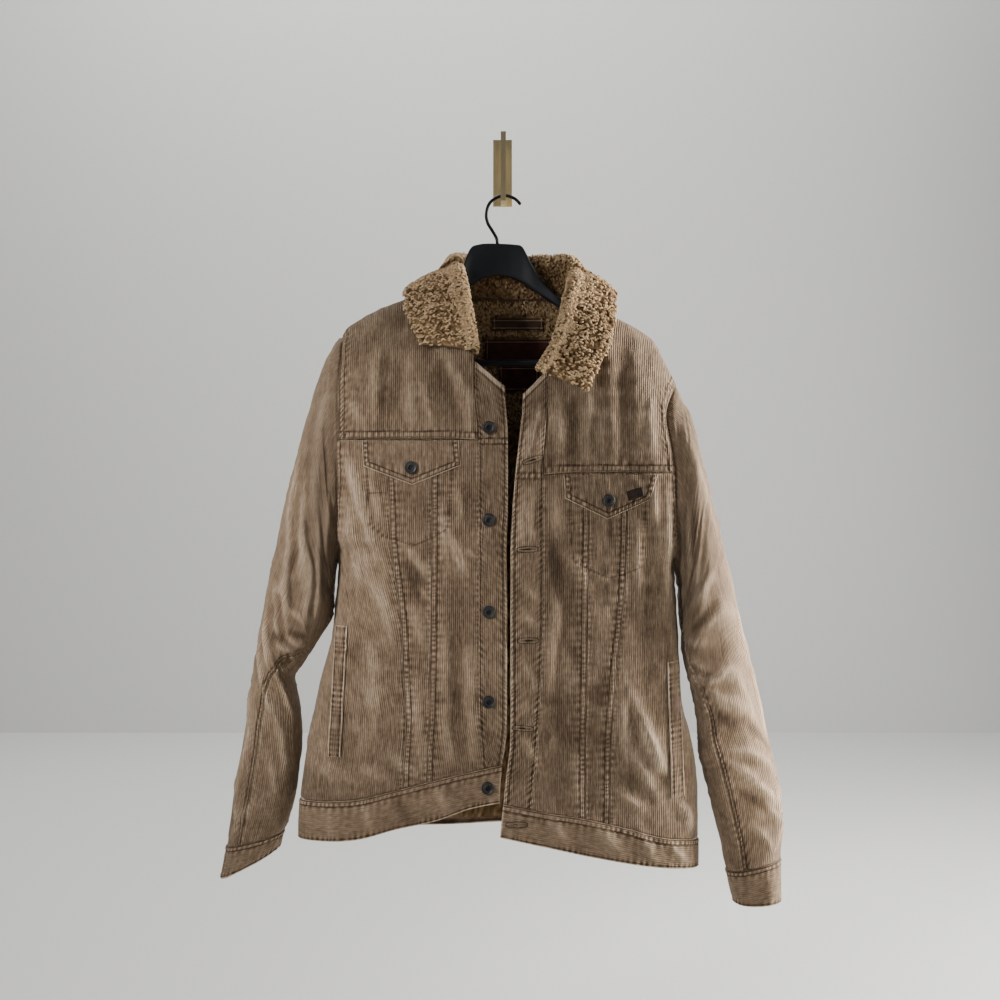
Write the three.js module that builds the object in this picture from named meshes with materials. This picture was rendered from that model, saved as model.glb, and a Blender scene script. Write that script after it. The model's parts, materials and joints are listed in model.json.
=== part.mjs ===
// Sherpa lined corduroy jacket on a black hanger, which hangs on a brass wall hook.
// Millimetres, +Z up. The origin is on the back of the wall plate, the wall is the plane y = 0
// and the jacket's front looks along -Y. Left and right are as seen from the front.
// Every piece of cloth is a closed wall between two offsets of a shared surface.
import * as THREE from 'three';

// Driving dimensions
const SHELL = 3;              // corduroy with its backing
const TRIM = 1.6;             // flaps, welts, labels and tabs
const SEAM = 0.3;             // gap between neighbouring pieces
const SEAT = 0.7;             // gap under what lies on a panel
const MID_Y = -64;            // plane of the shoulder ridges and the side seams
const ROUNDING = 80;          // height over which a shoulder rounds forward or back
const SQUARE = 3;             // squareness of the body's cross-section
const ARM_DEPTH = 40;         // half depth of an armhole
const SHERPA = 5;             // pile and backing of the upper collar
const UNDER = 1.5;            // under collar
const LINING = 3.5;           // sherpa on the inside of the back
const BUTTON = 8.5;           // button radius
const FOLDED = 1;             // hem bands, folded double, stand out this far
const PLACKET_RISE = 0.8;     // and the doubled plackets this far
const HEM_GAP = 0.8;          // gap at the level seams, where facets of unlike width meet
const YOKE_GAP = 0.8;
const SIDE_END = 0.985;       // where panels and bands stop short of the side line
const HEM_SIDE_END = 0.972;
const ROWS_DOWN = 12;
const PANEL_LENGTH = 430;
const BAND_HEIGHT = 50;
const STEP = 0.001;           // step in a surface's own coordinates for its tangents

// A short table: a line of column names, then a row for each height, section or fold
function rows(names, values) {
  const columns = names.split(' ');
  return values.map(row => Object.fromEntries(columns.map((name, i) => [name, row[i]])));
}

// A smooth curve through one column of a table, read by another column
function curve(table, by, name) {
  const sorted = [...table].sort((a, b) => a[by] - b[by]);
  const xs = sorted.map(row => row[by]);
  const ys = sorted.map(row => row[name]);
  const last = xs.length - 1;
  const slope = i => (ys[i + 1] - ys[i]) / (xs[i + 1] - xs[i]);
  const tangent = i => {
    if (i === 0) return slope(0);
    if (i === last) return slope(last - 1);
    return slope(i - 1) * slope(i) <= 0 ? 0 : (ys[i + 1] - ys[i - 1]) / (xs[i + 1] - xs[i - 1]);
  };
  return value => {
    if (value <= xs[0]) return ys[0];
    if (value >= xs[last]) return ys[last];
    let i = 0;
    while (value > xs[i + 1]) i += 1;
    const width = xs[i + 1] - xs[i];
    const t = (value - xs[i]) / width;
    const rise = tangent(i) * width * t * (1 - t) ** 2 - tangent(i + 1) * width * t ** 2 * (1 - t);
    return ys[i] * (1 + 2 * t) * (1 - t) ** 2 + ys[i + 1] * t ** 2 * (3 - 2 * t) + rise;
  };
}

const lerp = (a, b, t) => a + (b - a) * t;
const clamp = value => Math.min(Math.max(value, 0), 1);
const steps = (from, to, count) => Array.from({ length: count + 1 }, (_, i) => lerp(from, to, i / count));

// Body, heights and widths

// Top line of the garment over the shoulders, and where it would run over the open neck
const CROWN = rows('x z', [
  [-214, -230],
  [-205, -219],
  [-171, -199],
  [-132, -183],
  [-100, -172],
  [-78, -166],
  [-50, -140],
  [0, -120],
  [60, -128],
  [84, -158],
  [103, -179],
  [152, -207],
  [183, -224],
  [202, -240],
  [214, -262],
  [233, -298],
]);
const crownZ = curve(CROWN, 'x', 'z');

// Depth of the front and the back at their fullest
const DEPTH = rows('z front back', [
  [-160, -104, -25],
  [-230, -112, -19],
  [-300, -118, -14],
  [-400, -124, -11],
  [-600, -129, -10],
  [-750, -132, -12],
  [-940, -135, -14],
]);
const frontFull = curve(DEPTH, 'z', 'front');
const backFull = curve(DEPTH, 'z', 'back');

// Each half of the front: where its edge, seams and side lie at each height
const LEFT = {
  name: 'left',
  sign: -1,
  armTop: -230,
  armBottom: -517,
  seams: rows('z edge placket inner outer side', [
    [-230, 3, -36, -93, -152, -214],
    [-300, 3, -36, -93, -152, -216],
    [-368, 7, -31, -93, -152, -216],
    [-460, 7, -31, -93, -148, -216],
    [-517, 5, -31, -93, -145, -218],
    [-583, 6, -31, -94, -136, -222],
    [-633, 6, -31, -94, -131, -227],
    [-685, 6, -31, -95, -129, -242],
    [-736, 6, -30, -96, -126, -253],
    [-765, 4, -28, -98, -127, -259],
    [-800, -1, -26, -99, -129, -264],
    [-850, -4, -26, -100, -131, -270],
    [-900, -6, -26, -100, -131, -272],
  ]),
  levels: rows('x yoke hemTop hemBottom', [
    [-272, -372, -845, -898],
    [-194, -372, -840, -893],
    [-137, -372, -826, -877],
    [-88, -372, -813, -866],
    [-42, -373, -802, -850],
    [4, -376, -792, -841],
  ]),
  placketTop: { edge: -303, seam: -270 },
  folds: rows('x0 z0 x1 z1 width rise', [
    [-190, -280, -190, -360, 16, 4],
    [-142, -280, -140, -360, 14, -4],
    [-91, -268, -46, -352, 14, -6],
    [-208, -377, -165, -483, 16, 4],
    [-165, -483, -142, -590, 16, 5],
    [-52, -412, -38, -530, 12, -3],
    [-58, -560, -58, -786, 16, -6],
    [-190, -640, -205, -800, 20, -4],
  ]),
};
const RIGHT = {
  name: 'right',
  sign: 1,
  armTop: -298,
  armBottom: -532,
  seams: rows('z edge placket inner outer side', [
    [-298, 27, 58, 114, 166, 232],
    [-320, 26, 58, 114, 166, 220],
    [-340, 25, 57, 114, 165, 215],
    [-365, 22, 55, 114, 165, 218],
    [-400, 18, 53, 113, 164, 224],
    [-456, 13, 52, 113, 163, 227],
    [-532, 10, 52, 112, 161, 229],
    [-587, 10, 52, 111, 158, 231],
    [-665, 10, 50, 110, 149, 235],
    [-721, 10, 47, 109, 144, 239],
    [-769, 9, 44, 108, 141, 251],
    [-811, 4, 40, 108, 140, 258],
    [-868, -2, 35, 108, 139, 260],
    [-940, -8, 32, 108, 139, 260],
  ]),
  levels: rows('x yoke hemTop hemBottom', [
    [-8, -426, -842, -886],
    [52, -419, -854, -899],
    [107, -416, -863, -911],
    [161, -416, -876, -922],
    [203, -416, -889, -929],
    [260, -416, -898, -936],
  ]),
  placketTop: { edge: -313, seam: -281 },
  folds: rows('x0 z0 x1 z1 width rise', [
    [142, -240, 142, -395, 12, 4],
    [158, -240, 157, -400, 10, -4],
    [176, -240, 172, -395, 12, 4],
    [212, -425, 214, -620, 16, 4],
    [173, -736, 215, -818, 18, 5],
    [80, -520, 76, -800, 18, -4],
    [185, -560, 190, -720, 18, -4],
  ]),
};
const HALVES = [LEFT, RIGHT];
for (const half of HALVES) {
  half.x = {};
  for (const seam of ['edge', 'placket', 'inner', 'outer', 'side']) {
    half.x[seam] = curve(half.seams, 'z', seam);
  }
  half.z = {};
  for (const level of ['yoke', 'hemTop', 'hemBottom']) {
    half.z[level] = curve(half.levels, 'x', level);
  }
}

const BACK_FOLDS = rows('x0 z0 x1 z1 width rise', [
  [-150, -300, -120, -470, 20, 4],
  [-60, -420, -70, -700, 20, -4],
  [40, -330, 60, -520, 20, 4],
  [95, -560, 90, -820, 18, -4],
  [160, -330, 175, -600, 20, 4],
  [-180, -560, -200, -780, 20, 4],
]);

// Height of the folds at a place: soft ridges and troughs that fade at both ends
function foldRise(folds, x, z) {
  let rise = 0;
  for (const fold of folds) {
    const along = new THREE.Vector2(fold.x1 - fold.x0, fold.z1 - fold.z0);
    const here = new THREE.Vector2(x - fold.x0, z - fold.z0);
    const t = here.dot(along) / along.lengthSq();
    const nearest = clamp(t);
    const across = here.sub(along.multiplyScalar(nearest)).length();
    const taper = 0.3 + 0.7 * Math.sin(Math.PI * nearest);
    rise += fold.rise * taper * Math.exp(-((across / fold.width) ** 2));
  }
  return rise;
}

// Edge of an armhole, an upright oval, on its front (face -1) or its back (face 1)
function armholeY(half, z, face) {
  const centre = (half.armTop + half.armBottom) / 2;
  const reach = Math.abs(z - centre) / (half.armTop - centre);
  return MID_Y + face * ARM_DEPTH * Math.pow(1 - Math.min(reach, 1) ** 2.4, 1 / 2.4);
}

// Depth of the body at x, z: flat in the middle, turning round to the side and over the shoulder
function bodyY(half, face, x, z, creased = true) {
  const reach = Math.min(Math.abs(x / half.x.side(z)), 1);
  const belly = Math.pow(1 - reach ** SQUARE, 1 / SQUARE);
  const sideY = armholeY(half, z, face);
  const full = face < 0 ? frontFull(z) : backFull(z);
  const drop = clamp((crownZ(x) - z) / ROUNDING);
  const round = Math.sqrt(1 - (1 - drop) ** 2);
  const level = MID_Y + (lerp(sideY, full, belly) - MID_Y) * round;
  if (!creased) return level;
  const folds = face < 0 ? half.folds : BACK_FOLDS;
  return level + face * foldRise(folds, x, z) * round * belly;
}
const bodyPoint = (half, face, x, z) => new THREE.Vector3(x, bodyY(half, face, x, z), z);

// Walls

// Tangents of a surface give its outward normal; turn is 1 or -1
function outward(surface, u, v, turn, spread) {
  const du = surface(u + spread.u, v).sub(surface(u - spread.u, v));
  const dv = surface(u, v + spread.v).sub(surface(u, v - spread.v));
  return du.cross(dv).normalize().multiplyScalar(turn);
}

function closedGeometry(points, triangles) {
  const positions = points.flatMap(p => [p.x, p.y, p.z]);
  let volume = 0;
  for (const [a, b, c] of triangles) {
    volume += points[a].dot(new THREE.Vector3().crossVectors(points[b], points[c]));
  }
  const facing = volume > 0 ? triangles : triangles.map(([a, b, c]) => [a, c, b]);
  const geometry = new THREE.BufferGeometry();
  geometry.setAttribute('position', new THREE.Float32BufferAttribute(positions, 3));
  geometry.setIndex(facing.flat());
  geometry.computeVertexNormals();
  return geometry;
}

// A closed wall over the grid us x vs of a surface, between two heights above it
function wall({ surface, us, vs, low, high, turn = 1, ring = false }) {
  const spread = { u: STEP, v: STEP };
  const lows = [];
  const highs = [];
  for (const v of vs) {
    for (const u of us) {
      const point = surface(u, v);
      const normal = outward(surface, u, v, turn, spread);
      lows.push(point.clone().addScaledVector(normal, low));
      highs.push(point.clone().addScaledVector(normal, high));
    }
  }
  const nu = us.length;
  const nv = vs.length;
  const offset = lows.length;
  const triangles = [];
  const quad = (a, b, c, d) => triangles.push([a, b, c], [a, c, d]);
  const spans = ring ? nu : nu - 1;
  for (let j = 0; j < nv - 1; j += 1) {
    for (let i = 0; i < spans; i += 1) {
      const a = j * nu + i;
      const b = j * nu + ((i + 1) % nu);
      quad(a, a + nu, b + nu, b);
      quad(offset + a, offset + b, offset + b + nu, offset + a + nu);
    }
  }
  for (let i = 0; i < spans; i += 1) {
    const next = (i + 1) % nu;
    const foot = (nv - 1) * nu;
    quad(i, next, offset + next, offset + i);
    quad(foot + next, foot + i, offset + foot + i, offset + foot + next);
  }
  for (let j = 0; !ring && j < nv - 1; j += 1) {
    const a = j * nu;
    const end = a + nu - 1;
    quad(a + nu, a, offset + a, offset + a + nu);
    quad(end, end + nu, offset + end + nu, offset + end);
  }
  return closedGeometry([...lows, ...highs], triangles);
}

// A closed body through rings of points, capped at both ends
function loft(rings) {
  const count = rings[0].length;
  const points = rings.flat();
  const triangles = [];
  for (let k = 0; k < rings.length - 1; k += 1) {
    for (let i = 0; i < count; i += 1) {
      const a = k * count + i;
      const b = k * count + ((i + 1) % count);
      triangles.push([a, b, b + count], [a, b + count, a + count]);
    }
  }
  const foot = (rings.length - 1) * count;
  for (let i = 1; i < count - 1; i += 1) {
    triangles.push([0, i + 1, i], [foot, foot + i, foot + i + 1]);
  }
  return closedGeometry(points, triangles);
}

// Materials
const finish = (color, roughness, metalness = 0) =>
  new THREE.MeshStandardMaterial({ color, roughness, metalness });
const corduroy = finish(0x8a6a4a, 0.9);
const sherpa = finish(0xb99563, 1);
const leather = finish(0x5a2a22, 0.6);
const gunmetal = finish(0x3c352f, 0.4, 0.8);
const blackPlastic = finish(0x161616, 0.6);
const blackWire = finish(0x111111, 0.4, 0.6);
const brass = finish(0xb89355, 0.35, 0.9);

const jacket = new THREE.Group();
function add(name, geometry, material) {
  const mesh = new THREE.Mesh(geometry, material);
  mesh.name = name;
  jacket.add(mesh);
  return mesh;
}

// Front and back panels

// Between two seams of a half, across (a) and down (v) from one level line to another
function panelSurface(half, face, [near, far], [top, bottom], crowd = 1) {
  const nearX = half.x[near];
  const farX = half.x[far];
  return (a, v) => {
    const across = 1 - (1 - a) ** crowd;
    let x = lerp(nearX(-560), farX(-560), across);
    let z = 0;
    for (let pass = 0; pass < 6; pass += 1) {
      z = lerp(top(x), bottom(x), v);
      x = lerp(nearX(z), farX(z), across);
    }
    return bodyPoint(half, face, x, z);
  };
}

// Steps that leave the seam gap at both ends of a stretch of the given length
const seamed = (count, length) => steps(SEAM / 2 / length, 1 - SEAM / 2 / length, count);

function frontPanels(half) {
  const turn = -half.sign;
  const down = seamed(ROWS_DOWN, PANEL_LENGTH);
  const panels = [
    ['inner_panel', 'placket', 'inner', 4, 62, 1],
    ['centre_panel', 'inner', 'outer', 4, 55, 1],
    ['side_panel', 'outer', 'side', 6, 90, 2.2],
  ];
  for (const [name, near, far, count, length, crowd] of panels) {
    const surface = panelSurface(half, -1, [near, far], [half.z.yoke, half.z.hemTop], crowd);
    const us = seamed(count, length);
    if (far === 'side') us[count] = SIDE_END;
    const cloth = wall({ surface, us, vs: down, low: -SHELL, high: 0, turn });
    add(`${half.name}_front_${name}`, cloth, corduroy);
  }
  const hem = panelSurface(half, -1, ['edge', 'side'], [half.z.hemTop, half.z.hemBottom], 1.6);
  const us = seamed(12, 300);
  us[12] = HEM_SIDE_END;
  const vs = steps(HEM_GAP / BAND_HEIGHT, 1, 2);
  const band = wall({ surface: hem, us, vs, low: -SHELL, high: FOLDED, turn });
  add(`${half.name}_front_hem_band`, band, corduroy);
}
HALVES.forEach(frontPanels);

// Placket: the doubled strip along the front edge, its top cut off at a slant
function placketSurface(half) {
  return (a, v) => {
    const top = lerp(half.placketTop.edge, half.placketTop.seam, a);
    let x = lerp(half.x.edge(-560), half.x.placket(-560), a);
    let z = 0;
    for (let pass = 0; pass < 6; pass += 1) {
      z = lerp(top, half.z.hemTop(x), v);
      x = lerp(half.x.edge(z), half.x.placket(z), a);
    }
    return bodyPoint(half, -1, x, z);
  };
}
for (const half of HALVES) {
  const us = steps(0, 1 - SEAM / 2 / 38, 2);
  const vs = steps(0, 1 - HEM_GAP / 500, 18);
  const surface = placketSurface(half);
  add(`${half.name}_front_placket`, wall({
    surface, us, vs, low: -SHELL, high: PLACKET_RISE, turn: -half.sign,
  }), corduroy);
}

// Collar, a row for each section from the left front end round the back to the right front end:
// where its stand meets the neck edge, the top of its roll, and the outer edge of its fall
const COLLAR = rows('at neckX neckZ rollX rollY rollZ edgeX edgeY edgeZ bulge radius', [
  [0, -38, -262, -37, -120, -256, -111, -119, -249, 2, 2.5],
  [1, -50, -240, -43, -117, -216, -125, -109, -217, 6, 6],
  [2, -60, -212, -49, -110, -188, -132, -91, -192, 10, 8],
  [3, -69, -188, -55, -92, -161, -130, -64, -174, 14, 8],
  [4, -76, -168, -60, -58, -142, -112, -34, -168, 12, 8],
  [5, -56, -172, -56, -29, -127, -72, -11, -184, 5, 7],
  [6, 12, -178, 10, -26, -130, 10, -9, -188, 0, 7],
  [7, 76, -177, 78, -34, -130, 96, -12, -188, 5, 7],
  [8, 101, -179, 93, -58, -150, 148, -42, -182, 18, 8],
  [9, 99, -200, 91, -88, -168, 151, -66, -180, 14, 8],
  [10, 93, -222, 84, -106, -192, 150, -90, -208, 10, 7],
  [11, 84, -248, 78, -114, -222, 145, -107, -236, 8, 6],
  [12, 70, -271, 66, -120, -255, 135, -116, -264, 5, 4],
  [13, 50, -286, 48, -123, -284, 112, -123, -311, 2, 2.5],
]);
const halfAt = x => (x < 0 ? LEFT : RIGHT);
const LEFT_RIDGE = 4;
const RIGHT_RIDGE = 8;
const collarCurve = {};
for (const name of Object.keys(COLLAR[0])) collarCurve[name] = curve(COLLAR, 'at', name);
function collarVector(kind, at) {
  return new THREE.Vector3(...['X', 'Y', 'Z'].map(axis => collarCurve[kind + axis](at)));
}
function neckPoint(at) {
  const x = collarCurve.neckX(at);
  const face = at > LEFT_RIDGE && at < RIGHT_RIDGE ? 1 : -1;
  return bodyPoint(halfAt(x), face, x, Math.min(collarCurve.neckZ(at), crownZ(x)));
}
function collarPoint(at, t) {
  const neck = neckPoint(at);
  const roll = collarVector('roll', at);
  const edge = collarVector('edge', at);
  const up = roll.clone().sub(neck).normalize();
  const radius = collarCurve.radius(at);
  const fall = edge.clone().sub(roll);
  const out = fall.clone().addScaledVector(up, -fall.dot(up)).normalize();
  const start = neck.clone().addScaledVector(up, COLLAR_FOOT);
  const points = [
    start,
    start.clone().lerp(roll, 0.5),
    roll,
    roll.clone().addScaledVector(out, radius).addScaledVector(up, radius),
    roll.clone().addScaledVector(out, 2 * radius),
    roll.clone().lerp(edge, 0.6).addScaledVector(up, collarCurve.bulge(at)),
    edge,
  ];
  return new THREE.CatmullRomCurve3(points, false, 'centripetal').getPoint(clamp(t));
}
const COLLAR_FOOT = 1.1;      // the stand starts this far above the neck edge
const COLLAR_TURNS = [0.002, 0.17, 0.32, 0.41, 0.5, 0.59, 0.68, 0.82, 0.985];
const FALL_START = 6;         // the under collar shows under the fall only
const COLLAR_STATIONS = steps(0.01, 12.99, 24);
const collarSurface = (at, t) => collarPoint(at, t);
add('upper_collar', wall({
  surface: collarSurface, us: COLLAR_STATIONS, vs: COLLAR_TURNS, low: SEAM, high: SHERPA,
}), sherpa);
add('under_collar', wall({
  surface: collarSurface, us: COLLAR_STATIONS, vs: COLLAR_TURNS.slice(FALL_START),
  low: -UNDER, high: -SEAM,
}), corduroy);

// Front yokes: from the neck edge to the armhole, and from the shoulder to the yoke seam
const NECK_SHARE = 0.66;      // share of a yoke's inner edge that the collar stands on
const NECK_ENDS = { left: [LEFT_RIDGE, 0.1], right: [RIGHT_RIDGE, 12.5] };
function yokeInnerEdge(half, v) {
  const [from, to] = NECK_ENDS[half.name];
  if (v < NECK_SHARE) {
    const at = lerp(from, to, v / NECK_SHARE);
    return [collarCurve.neckX(at), collarCurve.neckZ(at)];
  }
  const start = collarCurve.neckZ(to);
  const z = lerp(start, half.z.yoke(half.x.placket(-390)), (v - NECK_SHARE) / (1 - NECK_SHARE));
  return [half.x.placket(z), z];
}
function yokeSurface(half) {
  const armZ = v => lerp(half.armTop, half.z.yoke(half.x.side(-380)), v ** 1.4);
  const line = (a, v) => {
    const [x, z] = yokeInnerEdge(half, v);
    return [lerp(x, half.x.side(armZ(v)), a), lerp(z, armZ(v), a)];
  };
  return (a, v) => {
    const [x, z] = line(a, v);
    const [topX, topZ] = line(a, 0);
    const [footX, footZ] = line(a, 1);
    const atCrown = (crownZ(topX) - topZ) * (1 - v) ** 4;
    const atSeam = (half.z.yoke(footX) + YOKE_GAP - footZ) * v ** 4;
    return bodyPoint(half, -1, x, Math.min(z + atCrown + atSeam, crownZ(x) - 0.02));
  };
}
for (const half of HALVES) {
  const us = steps(0.006, 0.992, 9);
  const vs = [0.004, 0.05, 0.14, 0.27, 0.41, 0.56, 0.7, 0.85, 1 - SEAM / 2 / 180];
  const surface = yokeSurface(half);
  const cloth = wall({ surface, us, vs, low: -SHELL, high: 0, turn: -half.sign });
  add(`${half.name}_front_yoke`, cloth, corduroy);
}

// Back: yoke, three panels and a hem band, each across the whole width it covers
const BACK_LEVELS = rows('x yoke hemTop hemBottom', [
  [-272, -352, -845, -898],
  [-76, -352, -844, -896],
  [12, -354, -840, -892],
  [101, -360, -852, -905],
  [262, -370, -892, -942],
]);
const backZ = {};
for (const level of ['yoke', 'hemTop', 'hemBottom']) backZ[level] = curve(BACK_LEVELS, 'x', level);
const backNeckZ = curve(COLLAR.slice(LEFT_RIDGE, RIGHT_RIDGE + 1), 'neckX', 'neckZ');
const isNeck = x => x > collarCurve.neckX(LEFT_RIDGE) && x < collarCurve.neckX(RIGHT_RIDGE);
const backTop = x => (isNeck(x) ? backNeckZ(x) : crownZ(x) - 0.02);
const BACK_SEAMS = rows('z left right', [
  [-352, -112, 132],
  [-600, -98, 118],
  [-940, -88, 108],
]);
const backSeamX = { left: curve(BACK_SEAMS, 'z', 'left'), right: curve(BACK_SEAMS, 'z', 'right') };
const sideX = { left: LEFT.x.side, right: RIGHT.x.side };
const backPoint = (x, z) => bodyPoint(halfAt(x), 1, x, z);

function backSurface(leftX, rightX, top, bottom, crowd) {
  return (a, v) => {
    let z = -560;
    let x = 0;
    for (let pass = 0; pass < 6; pass += 1) {
      x = lerp(leftX(z), rightX(z), crowd(a));
      z = lerp(top(x), bottom(x), v);
    }
    return backPoint(x, z);
  };
}
const even = a => a;
const crowdLeft = a => a ** 2.2;
const crowdRight = a => 1 - (1 - a) ** 2.2;
const crowdBoth = a => (a < 0.5 ? 0.5 * (2 * a) ** 1.6 : 1 - 0.5 * (2 - 2 * a) ** 1.6);
const SHOULDER_STEPS = [0.004, 0.02, 0.07, 0.16, 0.3, 0.5, 0.75, 0.998];
add('back_yoke', wall({
  surface: backSurface(sideX.left, sideX.right, backTop, backZ.yoke, even),
  us: steps(0.004, 0.996, 18), vs: SHOULDER_STEPS, low: -SHELL, high: 0,
}), corduroy);
const backPanels = [
  ['left_back_side_panel', sideX.left, backSeamX.left, crowdLeft, 6],
  ['back_centre_panel', backSeamX.left, backSeamX.right, even, 8],
  ['right_back_side_panel', backSeamX.right, sideX.right, crowdRight, 6],
];
for (const [name, leftX, rightX, crowd, count] of backPanels) {
  const us = seamed(count, 150);
  if (crowd === crowdLeft) us[0] = 1 - SIDE_END;
  if (crowd === crowdRight) us[count] = SIDE_END;
  const vs = steps(0.0006, 1 - 0.0006, 12);
  const surface = backSurface(leftX, rightX, backZ.yoke, backZ.hemTop, crowd);
  add(name, wall({ surface, us, vs, low: -SHELL, high: 0 }), corduroy);
}
add('back_hem_band', wall({
  surface: backSurface(sideX.left, sideX.right, backZ.hemTop, backZ.hemBottom, crowdBoth),
  us: steps(1 - HEM_SIDE_END, HEM_SIDE_END, 20), vs: steps(HEM_GAP / BAND_HEIGHT, 1, 2),
  low: -SHELL, high: FOLDED,
}), corduroy);

// Sleeves, a row for each ring: its outer and inner ends in the front view, its depth, and the
// angles of the front and back seams, counted from the outer end over the front
const LEFT_SLEEVE = rows('at outX outZ inX inZ depth frontSeam backSeam', [
  [0, -214, -230, -218, -517, 40, 168, 205],
  [1, -232, -245, -222, -530, 45, 168, 205],
  [2, -244, -275, -225, -548, 48, 168, 205],
  [3, -256, -323, -226, -568, 50, 168, 205],
  [4, -273, -384, -227, -590, 51, 168, 205],
  [5, -287, -438, -230, -612, 51, 168, 205],
  [6, -301, -507, -251, -646, 49, 160, 205],
  [7, -311, -551, -267, -670, 47, 135, 206],
  [8, -321, -608, -279, -692, 45, 108, 208],
  [9, -331, -668, -273, -722, 43, 84, 210],
  [10, -340, -730, -269, -760, 40, 76, 212],
  [11, -350, -790, -273, -815, 38, 74, 214],
  [12, -360, -852, -280, -860, 36, 73, 215],
  [13, -368, -911, -292, -892, 35, 72, 216],
]);
const RIGHT_SLEEVE = rows('at outX outZ inX inZ depth frontSeam backSeam', [
  [0, 233, -298, 229, -532, 40, 168, 205],
  [1, 242, -308, 234, -546, 43, 168, 205],
  [2, 250, -328, 236, -563, 46, 168, 205],
  [3, 258, -360, 237, -585, 48, 168, 205],
  [4, 269, -410, 238, -612, 49, 166, 205],
  [5, 284, -468, 240, -640, 49, 160, 205],
  [6, 298, -530, 243, -672, 47, 150, 205],
  [7, 314, -604, 253, -706, 45, 140, 206],
  [8, 327, -655, 259, -738, 43, 130, 208],
  [9, 345, -736, 262, -785, 41, 122, 210],
  [10, 360, -790, 269, -815, 39, 120, 212],
  [11, 370, -836, 279, -858, 37, 119, 214],
  [12, 374, -880, 291, -905, 36, 118, 215],
  [13, 371, -926, 299, -944, 35, 117, 216],
]);
const LEFT_CUFF = rows('at outX outZ inX inZ depth', [
  [0, -368, -911, -292, -892, 35.5],
  [1, -376, -955, -299, -916, 36],
]);
const RIGHT_CUFF = rows('at outX outZ inX inZ depth', [
  [0, 371, -926, 299, -944, 35.5],
  [1, 370, -984, 309, -988, 36],
]);
const SLEEVE_FOLDS = {
  left: rows('k0 a0 k1 a1 width rise', [
    [4.6, 80, 6.2, 110, 12, 4],
    [5.4, 60, 6.6, 85, 12, 4],
    [6.4, 100, 7.6, 60, 12, -2],
    [7.8, 60, 8.6, 110, 12, 4],
    [9.2, 30, 10.5, 80, 12, 3],
    [5, 250, 7, 290, 14, 4],
    [7.5, 300, 9, 240, 14, -2],
  ]),
  right: rows('k0 a0 k1 a1 width rise', [
    [5, 120, 6.4, 40, 12, 4],
    [6, 150, 7.4, 70, 12, -3],
    [7.6, 140, 8.6, 60, 12, 4],
    [8.8, 110, 9.8, 30, 14, 4],
    [5, 250, 7, 290, 14, 4],
    [7.5, 300, 9, 240, 14, -4],
  ]),
};
const RING_LENGTH = 55;       // cloth between two rings, for the folds' sizes
const DEGREE_LENGTH = 0.9;
const SLEEVE_SQUARE = 2.4;
const SLEEVE_SHELL = 2.5;
const ARM_GAP = 1.4;
function ringPoint(ring, at, degrees, rise = 0) {
  const angle = THREE.MathUtils.degToRad(degrees);
  const across = Math.sign(Math.cos(angle)) * Math.abs(Math.cos(angle)) ** (2 / SLEEVE_SQUARE);
  const forward = Math.sign(Math.sin(angle)) * Math.abs(Math.sin(angle)) ** (2 / SLEEVE_SQUARE);
  const out = new THREE.Vector3(ring.outX(at), MID_Y, ring.outZ(at));
  const inner = new THREE.Vector3(ring.inX(at), MID_Y, ring.inZ(at));
  const middle = out.clone().lerp(inner, 0.5);
  const half = out.clone().sub(middle);
  const swell = 1 + rise / half.length();
  const point = middle.addScaledVector(half, across * swell);
  point.y -= forward * (ring.depth(at) + rise);
  return point;
}
function ringCurves(table) {
  const ring = {};
  for (const name of Object.keys(table[0])) ring[name] = curve(table, 'at', name);
  return ring;
}
function sleeveSurface(half, table) {
  const ring = ringCurves(table);
  const folds = SLEEVE_FOLDS[half.name].map(fold => ({
    x0: fold.k0 * RING_LENGTH,
    z0: fold.a0 * DEGREE_LENGTH,
    x1: fold.k1 * RING_LENGTH,
    z1: fold.a1 * DEGREE_LENGTH,
    width: fold.width,
    rise: fold.rise,
  }));
  return (degrees, at) => {
    const rise = foldRise(folds, at * RING_LENGTH, degrees * DEGREE_LENGTH);
    const point = ringPoint(ring, at, degrees, rise);
    const fade = clamp(1 - at / 3) ** 2;
    const top = ring.outZ(at);
    const down = clamp((top - point.z) / (top - ring.inZ(at)));
    const chord = lerp(ring.outX(at), ring.inX(at), down);
    point.x += fade * (half.x.side(point.z) + half.sign * ARM_GAP - chord);
    return point;
  };
}
function addSleeve(half, table, cuffTable) {
  const ring = ringCurves(table);
  const body = sleeveSurface(half, table);
  const gap = 0.4;
  const top = (u, at) => body(lerp(ring.backSeam(at) - 360 + gap, ring.frontSeam(at) - gap, u), at);
  const under = (u, at) => body(lerp(ring.frontSeam(at) + gap, ring.backSeam(at) - gap, u), at);
  const vs = steps(0, 13 - 0.012, 17);
  const common = { vs, low: -SLEEVE_SHELL, high: 0, turn: half.sign };
  add(`${half.name}_sleeve_top`, wall({ surface: top, us: steps(0, 1, 13), ...common }), corduroy);
  add(`${half.name}_sleeve_under`, wall({ surface: under, us: steps(0, 1, 6), ...common }), corduroy);
  const cuffRing = ringCurves(cuffTable);
  const cuff = (degrees, at) => ringPoint(cuffRing, at, degrees);
  const us = steps(0, 360, 20).slice(0, 20);
  add(`${half.name}_cuff`, wall({
    surface: cuff, us, vs: steps(0.002, 1, 2), low: -SHELL, high: 0.5, turn: half.sign, ring: true,
  }), corduroy);
}
addSleeve(LEFT, LEFT_SLEEVE, LEFT_CUFF);
addSleeve(RIGHT, RIGHT_SLEEVE, RIGHT_CUFF);

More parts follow.
